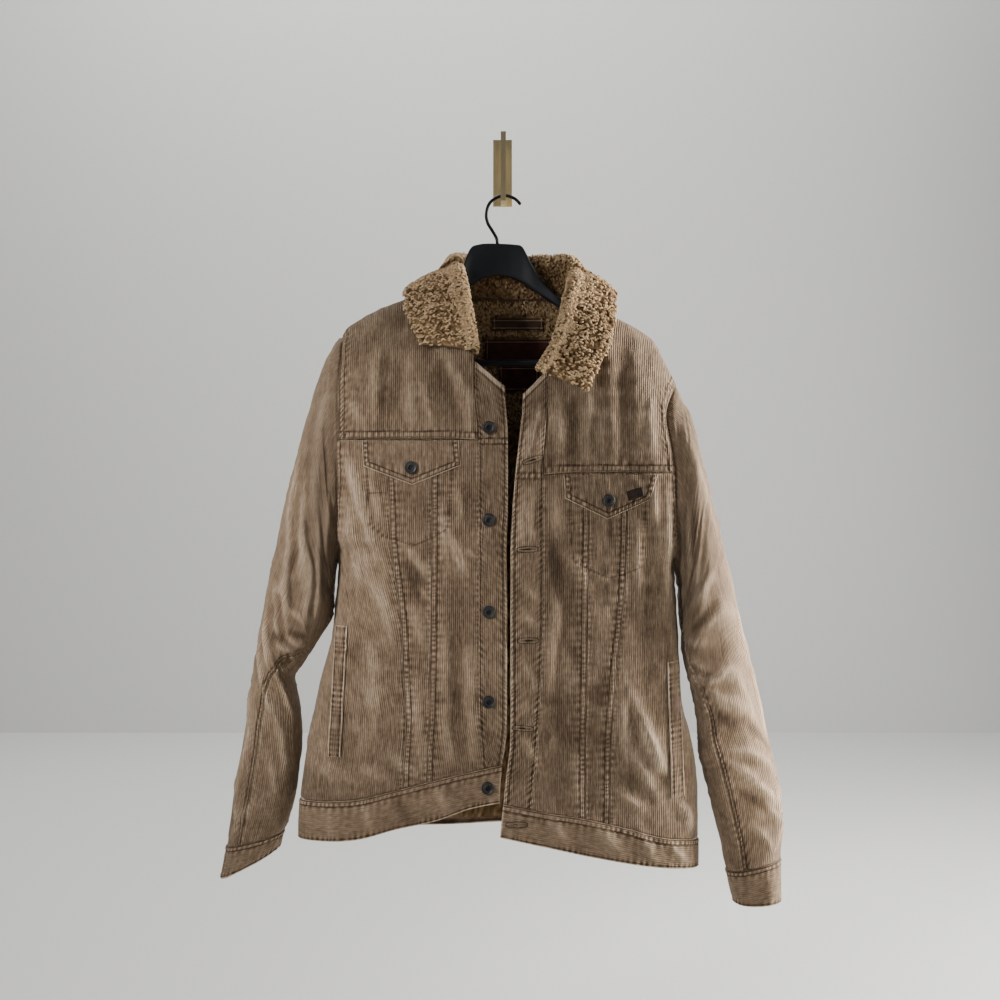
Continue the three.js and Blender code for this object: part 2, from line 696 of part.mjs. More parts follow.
// Pieces that lie on the front: a patch of the front's own points, moved out.
// rowAt gives the x and z of its left and right ends at v, from its top (0) to its foot (1)
function patch(name, half, { rowAt, us, vs, lift, thick = TRIM, material = corduroy }) {
  const surface = (a, v) => {
    const [x0, z0, x1, z1, dip = 0] = rowAt(v);
    return bodyPoint(half, -1, lerp(x0, x1, a), lerp(z0, z1, a) - dip * (1 - Math.abs(2 * a - 1)));
  };
  add(name, wall({ surface, us, vs, low: lift, high: lift + thick, turn: -1 }), material);
}
const blend = (from, to, v) => from.map((value, i) => lerp(value, to[i], v));

// Pocket flaps, pointed at the middle, with a button near the point
const FLAPS = {
  left: { top: [-183, -374, -57, -374, 0], foot: [-181, -407, -54, -406, 25] },
  right: { top: [79, -419, 202, -418, 0], foot: [81, -449, 191, -451, 26] },
};
const FLAP_STEPS = steps(0, 1, 8);
for (const half of HALVES) {
  const { top, foot } = FLAPS[half.name];
  patch(`${half.name}_pocket_flap`, half, {
    rowAt: v => blend(top, foot, v), us: FLAP_STEPS, vs: steps(0, 1, 3), lift: SEAT,
  });
}
// A small blank tab sewn slanting on the right flap
patch('flap_tab', RIGHT, {
  rowAt: v => blend([160, -440, 180, -434], [163, -452, 183, -446], v),
  us: [0, 0.5, 1], vs: [0, 1], lift: SEAT + TRIM + 0.9, thick: 1.2, material: leather,
});

// Welts of the slanting hand pockets
const WELTS = {
  left: { top: [-218, -616, -202, -616], foot: [-228, -786, -211, -786] },
  right: { top: [215, -664, 231, -662], foot: [219, -840, 237, -838] },
};
for (const half of HALVES) {
  const { top, foot } = WELTS[half.name];
  patch(`${half.name}_welt`, half, {
    rowAt: v => blend(top, foot, v), us: [0, 0.5, 1], vs: steps(0, 1, 8), lift: 2 * SEAT,
  });
}

// Buttons: a rim round a sunk middle, seated along the surface's normal
const BUTTON_PROFILE = rows('radius height', [
  [0, 0],
  [0.85, 0],
  [1, 1.2],
  [0.94, 3],
  [0.72, 3.3],
  [0.58, 2.4],
  [0, 2.4],
]);
function addButton(name, x, z, lift) {
  const half = halfAt(x);
  const profile = BUTTON_PROFILE.map(row => new THREE.Vector2(row.radius * BUTTON, row.height));
  const geometry = new THREE.LatheGeometry(profile, 12);
  const normal = outward((u, v) => bodyPoint(half, -1, u, v), x, z, 1, { u: 6, v: 6 });
  const mesh = add(name, geometry, gunmetal);
  mesh.quaternion.setFromUnitVectors(new THREE.Vector3(0, 1, 0), normal);
  mesh.position.copy(bodyPoint(half, -1, x, z)).addScaledVector(normal, lift);
}
const FRONT_BUTTONS = rows('x z', [[-18, -357], [-18, -477], [-18, -596], [-18, -712], [-19, -823]]);
FRONT_BUTTONS.forEach((row, i) => addButton(`front_button_${i + 1}`, row.x, row.z, PLACKET_RISE + 0.7));
addButton('left_flap_button', -119, -409, SEAT + TRIM + 0.7);
addButton('right_flap_button', 137, -452, SEAT + TRIM + 0.7);

// Sherpa on the inside of the back, below the neck seam and between the shoulders
const INSIDE = SHELL + 4.3;   // clear of the back's deepest troughs
const smoothBack = (x, z) => new THREE.Vector3(x, bodyY(halfAt(x), 1, x, z, false), z);
const LINING_DOWN = [0, 0.02, 0.045, 0.08, 0.13, 0.2, 0.32, 0.46, 0.62, 0.8, 1];
const LINING_LEVELS = rows('x top foot', [
  [-150, -262, -886],
  [-110, -222, -886],
  [-70, -190, -885],
  [12, -188, -882],
  [92, -194, -888],
  [130, -236, -894],
  [172, -282, -902],
]);
const liningZ = { top: curve(LINING_LEVELS, 'x', 'top'), foot: curve(LINING_LEVELS, 'x', 'foot') };
add('back_lining', wall({
  surface: (x, v) => smoothBack(x, lerp(liningZ.top(x), liningZ.foot(x), v)),
  us: steps(-150, 172, 10), vs: LINING_DOWN, low: -INSIDE - LINING, high: -INSIDE,
}), sherpa);

// Hanger loop strip and two blank patches on the lining
function insidePatch(name, [x0, x1, top, foot], material) {
  const depth = INSIDE + LINING + 0.8;
  add(name, wall({
    surface: (a, v) => smoothBack(lerp(x0, x1, a), lerp(top, foot, v)),
    us: steps(0, 1, 4), vs: steps(0, 1, 2), low: -depth - TRIM, high: -depth,
  }), material);
}
insidePatch('hanger_loop', [-14, 56, -203, -219], leather);
insidePatch('neck_patch', [-24, 74, -232, -264], leather);
insidePatch('lower_patch', [-5, 50, -268, -302], leather);

// Hanger: a head and two sloping arms, through rings across its length
const HANGER = rows('x top foot y depth', [
  [-206, -232, -241, -62, 5],
  [-200, -227, -241, -62, 8],
  [-165, -210, -226, -62, 10],
  [-132, -197, -211, -61, 10],
  [-100, -188, -202, -60, 9],
  [-78, -181, -195, -58, 8],
  [-66, -176, -189, -58, 6],
  [-55, -160, -178, -55, 6],
  [-47, -130, -165, -50, 6],
  [-39, -107, -156, -45, 6],
  [-24, -105, -150, -43, 6],
  [-7, -105, -147, -42, 6],
  [10, -105, -150, -43, 6],
  [27, -107, -158, -46, 6],
  [39, -134, -168, -49, 7],
  [54, -158, -178, -52, 7],
  [70, -174, -189, -56, 8],
  [88, -189, -202, -58, 9],
  [118, -203, -217, -61, 10],
  [152, -222, -237, -62, 10],
  [184, -243, -259, -62, 8],
  [190, -249, -258, -62, 5],
]);
const HANGER_SIDES = 10;
const hangerRings = HANGER.map(({ x, top, foot, y, depth }) =>
  steps(0, 2 * Math.PI, HANGER_SIDES).slice(0, HANGER_SIDES).map(angle => {
    const side = Math.sign(Math.cos(angle)) * Math.abs(Math.cos(angle)) ** 0.7;
    const rise = Math.sign(Math.sin(angle)) * Math.abs(Math.sin(angle)) ** 0.7;
    return new THREE.Vector3(x, y + depth * side, (top + foot) / 2 + rise * (top - foot) / 2);
  }));
add('hanger_body', loft(hangerRings), blackPlastic);

function circle(radius, sides) {
  const points = steps(0, 2 * Math.PI, sides).slice(0, sides);
  return new THREE.Shape(points.map(a => new THREE.Vector2(radius * Math.cos(a), radius * Math.sin(a))));
}
function tube(path, radius, sides, count) {
  return new THREE.ExtrudeGeometry(circle(radius, sides), { extrudePath: path, steps: count });
}
const BAR_Z = -267;
const BAR_Y = -62;
const barPath = new THREE.CatmullRomCurve3([
  [-186, -237.4],
  [-186, -248],
  [-172, BAR_Z + 2],
  [-150, BAR_Z],
  [130, BAR_Z],
  [152, BAR_Z - 1],
  [165, -262],
  [168, -252.5],
].map(([x, z]) => new THREE.Vector3(x, BAR_Y, z)), false, 'centripetal');
add('hanger_bar', tube(barPath, 4.5, 8, 20), blackPlastic);

// Hanger hook: a round hook on a bent shank that stands on the head
const HOOK_WIRE = 2.25;
const HOOK_Y = -40;
const hookPath = new THREE.CatmullRomCurve3([
  [-7, -104.6],
  [-8, -97],
  [-14, -86],
  [-20, -76],
  [-22, -63.5],
  [-17, -48],
  [-4, -39.5],
  [7, -39],
  [17, -43],
  [25, -51],
].map(([x, z]) => new THREE.Vector3(x, HOOK_Y, z)), false, 'centripetal');
add('hanger_hook', tube(hookPath, HOOK_WIRE, 8, 20), blackWire);

// Wall hook: a flat plate and a J-shaped bar in front of it
const PLATE = { width: 26, thick: 4, top: 46, foot: -46 };
const plate = new THREE.BoxGeometry(PLATE.width, PLATE.thick, PLATE.top - PLATE.foot);
const plateMesh = add('wall_plate', plate, brass);
plateMesh.position.set(0, -PLATE.thick / 2, (PLATE.top + PLATE.foot) / 2);
const J_WIDTH = 7;
const J_PROFILE = rows('y z', [
  [-4.3, -35],
  [-38, -41.7],
  [-44, -42],
  [-47, -38],
  [-47, 44],
  [-48.5, 46],
  [-51.5, 46],
  [-53, 44],
  [-53, -48],
  [-51, -53],
  [-46, -55],
  [-4.3, -46],
]);
const J_X = 1;                // middle of the bar
// The extrusion's x, y and z become -y, z and -x of the part
const jShape = new THREE.Shape(J_PROFILE.map(row => new THREE.Vector2(-row.y, row.z)));
const jBar = new THREE.ExtrudeGeometry(jShape, { depth: J_WIDTH, bevelEnabled: false });
const jMesh = add('wall_hook_bar', jBar, brass);
const AXES = [[0, -1, 0], [0, 0, 1], [-1, 0, 0]];
const [alongX, alongY, alongZ] = AXES.map(axis => new THREE.Vector3(...axis));
jMesh.quaternion.setFromRotationMatrix(new THREE.Matrix4().makeBasis(alongX, alongY, alongZ));
jMesh.position.x = J_X + J_WIDTH / 2;

export default jacket;
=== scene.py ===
import json

import bpy
import numpy as np
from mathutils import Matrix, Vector
from mathutils.bvhtree import BVHTree

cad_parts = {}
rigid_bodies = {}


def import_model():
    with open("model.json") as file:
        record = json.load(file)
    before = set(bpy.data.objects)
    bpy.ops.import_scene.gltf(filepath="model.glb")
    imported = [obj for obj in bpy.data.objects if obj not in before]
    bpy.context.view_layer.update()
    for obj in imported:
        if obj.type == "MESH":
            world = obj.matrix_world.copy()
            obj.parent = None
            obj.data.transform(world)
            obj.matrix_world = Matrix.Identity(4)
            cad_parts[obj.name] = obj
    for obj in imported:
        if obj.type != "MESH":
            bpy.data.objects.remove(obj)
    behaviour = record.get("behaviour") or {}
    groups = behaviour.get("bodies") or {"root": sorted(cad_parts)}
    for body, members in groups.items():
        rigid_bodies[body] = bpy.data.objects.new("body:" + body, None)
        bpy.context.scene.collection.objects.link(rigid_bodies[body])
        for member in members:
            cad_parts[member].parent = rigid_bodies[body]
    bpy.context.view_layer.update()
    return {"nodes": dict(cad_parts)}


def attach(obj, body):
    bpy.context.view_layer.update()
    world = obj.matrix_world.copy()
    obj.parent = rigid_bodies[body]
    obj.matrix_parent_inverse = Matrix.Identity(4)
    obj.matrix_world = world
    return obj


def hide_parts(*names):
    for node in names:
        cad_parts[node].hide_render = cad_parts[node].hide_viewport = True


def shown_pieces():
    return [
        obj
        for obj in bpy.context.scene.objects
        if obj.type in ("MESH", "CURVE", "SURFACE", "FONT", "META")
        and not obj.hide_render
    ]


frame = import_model()
rng = np.random.default_rng(11)

# Sizes below are in millimetres, as in the part's source; meshes are made in metres.
MM = 0.001
THIN = 1.2              # the drawn cloth, on the outside of its solid's wall
TRIM = 1.6              # a flap, a welt or a leather patch
SEAM = 0.3              # between two pieces that are sewn together
SEAT = 0.7              # between a panel and what lies on it
BAND_GAP = 0.8          # between the panels and what ends at them
FOLDED = 1.0            # how far a hem band stands out from the panels
PLACKET_RISE = 0.8      # the same for a placket
INSIDE = 7.3            # from the outside of the back to its lining
LINING = 3.5
SHERPA = 5.0            # the pile of the collar
MID_Y = -64.0           # between the fronts and the back
ROUNDING = 80.0         # how far below the crown the body is at its full depth
SQUARE = 3.0            # how square the body is from above: 2 is an ellipse
ARM_DEPTH = 40.0        # half the depth of the body at the armholes
ARM_SQUARE = 2.4        # how square an armhole is from the side
LEVEL = -560.0          # where the search for a point of a panel starts
ROUNDS = 6              # how often it is repeated
FOLD_COLUMNS = "x0 z0 x1 z1 width rise"


# Tables and curves

def rows(names, values):
    """A table: its columns by name."""
    return dict(zip(names.split(), np.array(values, float).T))


def curve(table, by, name):
    """A smooth curve through one column of a table, read by another."""
    order = np.argsort(table[by])
    xs, ys = table[by][order], table[name][order]
    slopes = np.diff(ys) / np.diff(xs)
    tangents = np.concatenate([slopes[:1], np.zeros(len(xs) - 2), slopes[-1:]])
    for i in range(1, len(xs) - 1):
        if slopes[i - 1] * slopes[i] > 0:
            tangents[i] = (ys[i + 1] - ys[i - 1]) / (xs[i + 1] - xs[i - 1])

    def read(value):
        value = np.clip(np.asarray(value, float), xs[0], xs[-1])
        i = np.clip(np.searchsorted(xs, value, side="right") - 1, 0, len(xs) - 2)
        width = xs[i + 1] - xs[i]
        t = (value - xs[i]) / width
        bend = tangents[i] * width * t * (1 - t) ** 2 - tangents[i + 1] * width * t**2 * (1 - t)
        return ys[i] * (1 + 2 * t) * (1 - t) ** 2 + ys[i + 1] * t**2 * (3 - 2 * t) + bend

    return read


def curves(table, by="at"):
    return {name: curve(table, by, name) for name in table}


def lerp(a, b, t):
    return a + (b - a) * t


def spaced(start, end, count):
    return np.linspace(start, end, count + 1)


def packed_ends(length, pitch, fine, border):
    """Steps from 0 to 1 that are fine near both ends of a length and coarser between."""
    edge = np.arange(0, border, fine)
    middle = np.linspace(border, length - border, max(2, int((length - 2 * border) / pitch) + 1))
    return np.concatenate([edge, middle, length - edge[::-1]]) / length


CELLS = 64
LATTICE = np.random.default_rng(5).random((CELLS, CELLS))


def noise(x, y, size):
    """Smooth noise from -1 to 1, its bumps about size wide."""
    gx, gy = np.asarray(x, float) / size, np.asarray(y, float) / size
    ix, iy = np.floor(gx).astype(int), np.floor(gy).astype(int)
    fx, fy = gx - ix, gy - iy
    fx, fy = fx * fx * (3 - 2 * fx), fy * fy * (3 - 2 * fy)
    at = lambda i, j: LATTICE[(ix + i) % CELLS, (iy + j) % CELLS]
    return 2 * lerp(lerp(at(0, 0), at(1, 0), fx), lerp(at(0, 1), at(1, 1), fx), fy) - 1


# Body, in the part's own sizes

CROWN = rows("x z", [
    [-214, -230], [-205, -219], [-171, -199], [-132, -183], [-100, -172], [-78, -166],
    [-50, -140], [0, -120], [60, -128], [84, -158], [103, -179], [152, -207],
    [183, -224], [202, -240], [214, -262], [233, -298],
])
crown_z = curve(CROWN, "x", "z")
DEPTH = rows("z front back", [
    [-160, -104, -25], [-230, -112, -19], [-300, -118, -14], [-400, -124, -11],
    [-600, -129, -10], [-750, -132, -12], [-940, -135, -14],
])
FULL = {-1: curve(DEPTH, "z", "front"), 1: curve(DEPTH, "z", "back")}


class Half:
    """One half of the front: its edge, seams and side at each height, its levels and its folds."""

    def __init__(self, name, sign, arm, seams, levels, placket_top, folds, creases):
        self.name, self.sign, self.arm = name, sign, arm
        self.x = curves(rows("z edge placket inner outer side", seams), "z")
        self.z = curves(rows("x yoke hemTop hemBottom", levels), "x")
        self.placket_top = placket_top
        self.folds = rows(FOLD_COLUMNS, folds)
        self.creases = rows(FOLD_COLUMNS, creases)


LEFT = Half(
    "left", -1, (-230, -517),
    [
        [-230, 3, -36, -93, -152, -214], [-300, 3, -36, -93, -152, -216],
        [-368, 7, -31, -93, -152, -216], [-460, 7, -31, -93, -148, -216],
        [-517, 5, -31, -93, -145, -218], [-583, 6, -31, -94, -136, -222],
        [-633, 6, -31, -94, -131, -227], [-685, 6, -31, -95, -129, -242],
        [-736, 6, -30, -96, -126, -253], [-765, 4, -28, -98, -127, -259],
        [-800, -1, -26, -99, -129, -264], [-850, -4, -26, -100, -131, -270],
        [-900, -6, -26, -100, -131, -272],
    ],
    [
        [-272, -372, -845, -898], [-194, -372, -840, -893], [-137, -372, -826, -877],
        [-88, -372, -813, -866], [-42, -373, -802, -850], [4, -376, -792, -841],
    ],
    (-303, -270),
    [
        [-190, -280, -190, -360, 16, 4], [-142, -280, -140, -360, 14, -4],
        [-91, -268, -46, -352, 14, -6], [-208, -377, -165, -483, 16, 4],
        [-165, -483, -142, -590, 16, 5], [-52, -412, -38, -530, 12, -3],
        [-58, -560, -58, -786, 16, -6], [-190, -640, -205, -800, 20, -4],
    ],
    [
        # yoke
        [-120, -262, -118, -360, 9, 1.5], [-106, -290, -92, -356, 6, 1.6],
        [-78, -256, -40, -330, 7, 1.8], [-60, -300, -42, -366, 6, 1.2],
        [-168, -250, -166, -350, 8, 1.4], [-156, -300, -160, -362, 5, -1.2],
        [-200, -320, -176, -366, 6, 1.2], [-42, -300, -40, -365, 4, 1.3],
        # side and centre panels
        [-200, -400, -180, -470, 7, 2.0], [-188, -440, -166, -520, 6, 2.2],
        [-176, -410, -158, -470, 6, 1.6], [-200, -470, -186, -560, 7, 1.8],
        [-180, -520, -160, -590, 6, 1.6], [-158, -560, -142, -640, 7, 1.6],
        [-128, -510, -98, -545, 7, 2.2], [-122, -525, -108, -580, 8, -2.2],
        [-112, -560, -95, -580, 4, 1.4], [-118, -590, -100, -640, 6, 1.3],
        [-66, -500, -48, -545, 6, 2.6], [-62, -430, -52, -480, 6, 1.6],
        [-78, -450, -72, -560, 6, 1.4], [-48, -515, -34, -526, 4, 1.6],
        # lower fronts
        [-76, -600, -74, -720, 8, 1.6], [-44, -640, -38, -780, 7, 1.8],
        [-80, -720, -66, -790, 7, 2.0], [-118, -690, -104, -790, 9, 1.4],
        [-240, -800, -190, -815, 9, 1.8], [-186, -795, -150, -812, 8, 1.6],
        [-236, -770, -212, -836, 7, 1.4], [-170, -640, -165, -760, 10, 1.5],
        [-200, -690, -180, -780, 9, 1.2], [-150, -780, -110, -806, 7, 1.4],
        # hem band
        [-230, -850, -222, -890, 7, 1.2], [-180, -842, -168, -882, 6, 1.4],
        [-140, -832, -120, -868, 7, -1.3], [-88, -818, -70, -858, 6, 1.2],
    ],
)
RIGHT = Half(
    "right", 1, (-298, -532),
    [
        [-298, 27, 58, 114, 166, 232], [-320, 26, 58, 114, 166, 220],
        [-340, 25, 57, 114, 165, 215], [-365, 22, 55, 114, 165, 218],
        [-400, 18, 53, 113, 164, 224], [-456, 13, 52, 113, 163, 227],
        [-532, 10, 52, 112, 161, 229], [-587, 10, 52, 111, 158, 231],
        [-665, 10, 50, 110, 149, 235], [-721, 10, 47, 109, 144, 239],
        [-769, 9, 44, 108, 141, 251], [-811, 4, 40, 108, 140, 258],
        [-868, -2, 35, 108, 139, 260], [-940, -8, 32, 108, 139, 260],
    ],
    [
        [-8, -426, -842, -886], [52, -419, -854, -899], [107, -416, -863, -911],
        [161, -416, -876, -922], [203, -416, -889, -929], [260, -416, -898, -936],
    ],
    (-313, -281),
    [
        [142, -240, 142, -395, 12, 4], [158, -240, 157, -400, 10, -4],
        [176, -240, 172, -395, 12, 4], [212, -425, 214, -620, 16, 4],
        [173, -736, 215, -818, 18, 5], [80, -520, 76, -800, 18, -4],
        [185, -560, 190, -720, 18, -4],
    ],
    [
        # yoke
        [30, -400, 48, -330, 5, 2.0], [22, -404, 36, -350, 4, 1.6],
        [44, -400, 66, -320, 6, 1.8], [70, -300, 74, -395, 8, 1.6],
        [112, -300, 108, -400, 9, 1.5], [92, -320, 90, -400, 7, -1.4],
        [190, -300, 196, -400, 8, 1.5], [126, -330, 128, -400, 6, 1.2],
        # upper panels
        [20, -510, 30, -440, 6, 2.2], [34, -505, 38, -430, 5, 1.6],
        [24, -560, 46, -580, 5, 1.4], [20, -600, 44, -612, 5, 1.2],
        [62, -500, 72, -560, 8, -2.2], [88, -520, 110, -565, 7, 1.8],
        [66, -570, 74, -620, 6, 1.6], [138, -470, 140, -510, 3, -1.4],
        [70, -430, 68, -500, 8, 1.4], [196, -430, 198, -480, 5, 1.8],
        [215, -440, 217, -600, 5, 1.6], [175, -480, 178, -580, 8, 1.4],
        # lower panels
        [66, -600, 60, -700, 8, 1.8], [80, -640, 90, -720, 9, 1.4],
        [24, -660, 40, -690, 5, 1.3], [20, -750, 42, -790, 6, 1.5],
        [152, -700, 160, -780, 8, 1.6], [168, -700, 204, -800, 7, 2.6],
        [182, -740, 210, -806, 5, 2.0], [160, -760, 196, -832, 7, 1.8],
        [228, -845, 250, -875, 6, 1.8], [236, -850, 246, -888, 5, 1.6],
        [150, -830, 190, -858, 8, 1.6], [92, -780, 96, -850, 8, 1.3],
        # hem band
        [60, -860, 84, -896, 6, 1.4], [120, -868, 150, -906, 9, 1.8],
        [180, -884, 200, -924, 7, 1.6], [214, -895, 240, -925, 6, 1.8],
    ],
)
HALVES = (LEFT, RIGHT)
BACK_FOLDS = rows(FOLD_COLUMNS, [
    [-150, -300, -120, -470, 20, 4], [-60, -420, -70, -700, 20, -4], [40, -330, 60, -520, 20, 4],
    [95, -560, 90, -820, 18, -4], [160, -330, 175, -600, 20, 4], [-180, -560, -200, -780, 20, 4],
])
BACK_CREASES = rows(FOLD_COLUMNS, [
    [-170, -320, -130, -420, 8, 1.8], [-100, -300, -90, -345, 8, 1.4], [-20, -240, -24, -340, 9, 1.4],
    [60, -240, 66, -350, 9, 1.6], [130, -280, 150, -360, 8, 1.6], [-140, -480, -120, -600, 8, 1.8],
    [-20, -380, -30, -520, 9, 1.6], [30, -560, 20, -760, 10, 1.6], [150, -620, 160, -800, 9, 1.8],
    [-210, -620, -190, -760, 9, 1.8], [-160, -700, -150, -820, 8, 1.6], [200, -700, 190, -840, 9, 1.6],
    [-60, -760, -40, -840, 8, 1.4], [80, -400, 84, -540, 8, 1.5], [0, -800, 30, -880, 8, 1.2],
    [-204, -380, -150, -450, 8, 2.2], [-206, -430, -160, -520, 8, 1.8], [205, -440, 150, -520, 8, 2.2],
    [206, -500, 166, -590, 8, 1.8], [-196, -520, -170, -640, 9, 1.6], [60, -600, 100, -700, 9, 1.4],
    [-100, -640, -60, -720, 9, 1.4], [110, -700, 80, -800, 9, 1.6], [-30, -560, -50, -660, 10, 1.4],
])


def to_segment(x, z, x0, z0, x1, z1):
    """The share of a straight line at which it is nearest to a point, and the distance squared."""
    ax, az = x1 - x0, z1 - z0
    t = np.clip(((x - x0) * ax + (z - z0) * az) / (ax * ax + az * az), 0, 1)
    return t, (x - x0 - ax * t) ** 2 + (z - z0 - az * t) ** 2


def fold_rise(folds, x, z):
    """Soft ridges and troughs that fade at both ends."""
    rise = np.zeros(np.broadcast(x, z).shape)
    for *ends, width, height in zip(*folds.values()):
        t, across = to_segment(x, z, *ends)
        rise += height * (0.3 + 0.7 * np.sin(np.pi * t)) * np.exp(-across / width**2)
    return rise


def armhole_y(half, z, face):
    """How deep the body is at its side: open at the armhole and closed above and below it."""
    centre = sum(half.arm) / 2
    reach = np.minimum(np.abs(z - centre) / (half.arm[0] - centre), 1)
    inside = 1 - reach**ARM_SQUARE
    eased = np.clip(inside / 0.22, 0, 1)
    return MID_Y + face * ARM_DEPTH * inside ** (1 / ARM_SQUARE) * eased**1.5 * (2.5 - 1.5 * eased)


def half_y(half, face, x, z, creased=True):
    """The depth of a point of the front (face -1) or the back (face 1)."""
    reach = np.minimum(np.abs(x / half.x["side"](z)), 1)
    belly = (1 - reach**SQUARE) ** (1 / SQUARE)
    drop = np.clip((crown_z(x) - z) / ROUNDING, 0, 1)
    full_round = np.sqrt(1 - (1 - drop) ** 2)
    level = MID_Y + (lerp(armhole_y(half, z, face), FULL[face](z), belly) - MID_Y) * full_round
    if not creased:
        return level
    folds = half.folds if face < 0 else BACK_FOLDS
    return level + face * fold_rise(folds, x, z) * full_round * belly


def body_y(face, x, z, creased=True):
    return np.where(x < 0, half_y(LEFT, face, x, z, creased), half_y(RIGHT, face, x, z, creased))


def stacked(*parts):
    return np.stack(np.broadcast_arrays(*parts), axis=-1)


def front_point(half, x, z):
    return stacked(x, half_y(half, -1, x, z), z)


def back_point(x, z, creased=True):
    return stacked(x, body_y(1, x, z, creased), z)


# Meshes

def placed(name, data):
    """An object in the scene."""
    piece = bpy.data.objects.new(name, data)
    bpy.context.scene.collection.objects.link(piece)
    return piece


def mesh_object(name, points, faces, uv=None, values=None):
    """A smooth mesh object from points in mm and arrays of faces, with values on its points."""
    mesh = bpy.data.meshes.new(name)
    mesh.vertices.add(len(points))
    mesh.vertices.foreach_set("co", (points * MM).astype(np.float32).ravel())
    corners = np.concatenate([f.ravel() for f in faces]).astype(np.int32)
    sizes = np.concatenate([np.full(len(f), f.shape[1]) for f in faces])
    mesh.loops.add(len(corners))
    mesh.loops.foreach_set("vertex_index", corners)
    mesh.polygons.add(len(sizes))
    starts = np.concatenate([[0], np.cumsum(sizes)[:-1]]).astype(np.int32)
    mesh.polygons.foreach_set("loop_start", starts)
    mesh.update(calc_edges=True)
    mesh.shade_smooth()
    if uv is not None:
        layer = mesh.uv_layers.new(name="Grain")
        layer.uv.foreach_set("vector", (uv * MM).astype(np.float32).ravel())
    for key, value in (values or {}).items():
        attribute = mesh.attributes.new(key, "FLOAT", "POINT")
        attribute.data.foreach_set("value", np.asarray(value, np.float32).ravel())
    return placed(name, mesh)


def finished(piece, material, slot, nodes=()):
    """Gives a piece its material, hangs it on the root body and hides the CAD nodes it takes the place of."""
    if material is not None:
        piece.data.materials.append(material)
    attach(piece, "root")
    if nodes:
        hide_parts(*nodes)
    return piece


def unit(vectors):
    return vectors / np.maximum(np.linalg.norm(vectors, axis=-1, keepdims=True), 1e-9)


def grid_normals(surface, u, v, turn, step=0.001):
    across = surface(u + step, v) - surface(u - step, v)
    down = surface(u, v + step) - surface(u, v - step)
    return unit(np.cross(across, down)) * turn


def lengths_along(points, axis):
    """How far each point of a grid is from the start of its row (axis 1) or column (axis 0)."""
    step = np.linalg.norm(np.diff(points, axis=axis), axis=-1)
    start = np.zeros_like(np.take(step, [0], axis=axis))
    return np.concatenate([start, np.cumsum(step, axis=axis)], axis=axis)


def read_line(at, along, line):
    """The points of a line at lengths along it."""
    return np.stack([np.interp(at, along, column) for column in line.T], -1)


def around(ahead, aside, sides):
    """Directions in equal steps all round an axis."""
    a = unit(np.cross(ahead, aside))
    b = np.cross(ahead, a)
    angle = np.arange(sides) * 2 * np.pi / sides
    return a[..., None, :] * np.cos(angle)[:, None] + b[..., None, :] * np.sin(angle)[:, None]


def tube_faces(steps, sides):
    """Four-sided faces between closed rings of points that follow each other."""
    k, m = np.meshgrid(np.arange(steps), np.arange(sides), indexing="ij")
    first, second = k * sides + m, k * sides + (m + 1) % sides
    return np.stack([first, second, second + sides, first + sides], -1).reshape(-1, 4)


def signed_volume(points, quads):
    a, b, c, d = (points[quads[:, i]] for i in range(4))
    return np.einsum("ij,ij->", a, np.cross(b, c)) + np.einsum("ij,ij->", a, np.cross(c, d))


COARSE_ACROSS, COARSE_DOWN = 2, 4        # the unseen inside of a wall has fewer points


def coarse(count, step):
    """Every step-th number and the last."""
    return np.unique(np.append(np.arange(0, count, step), count - 1))


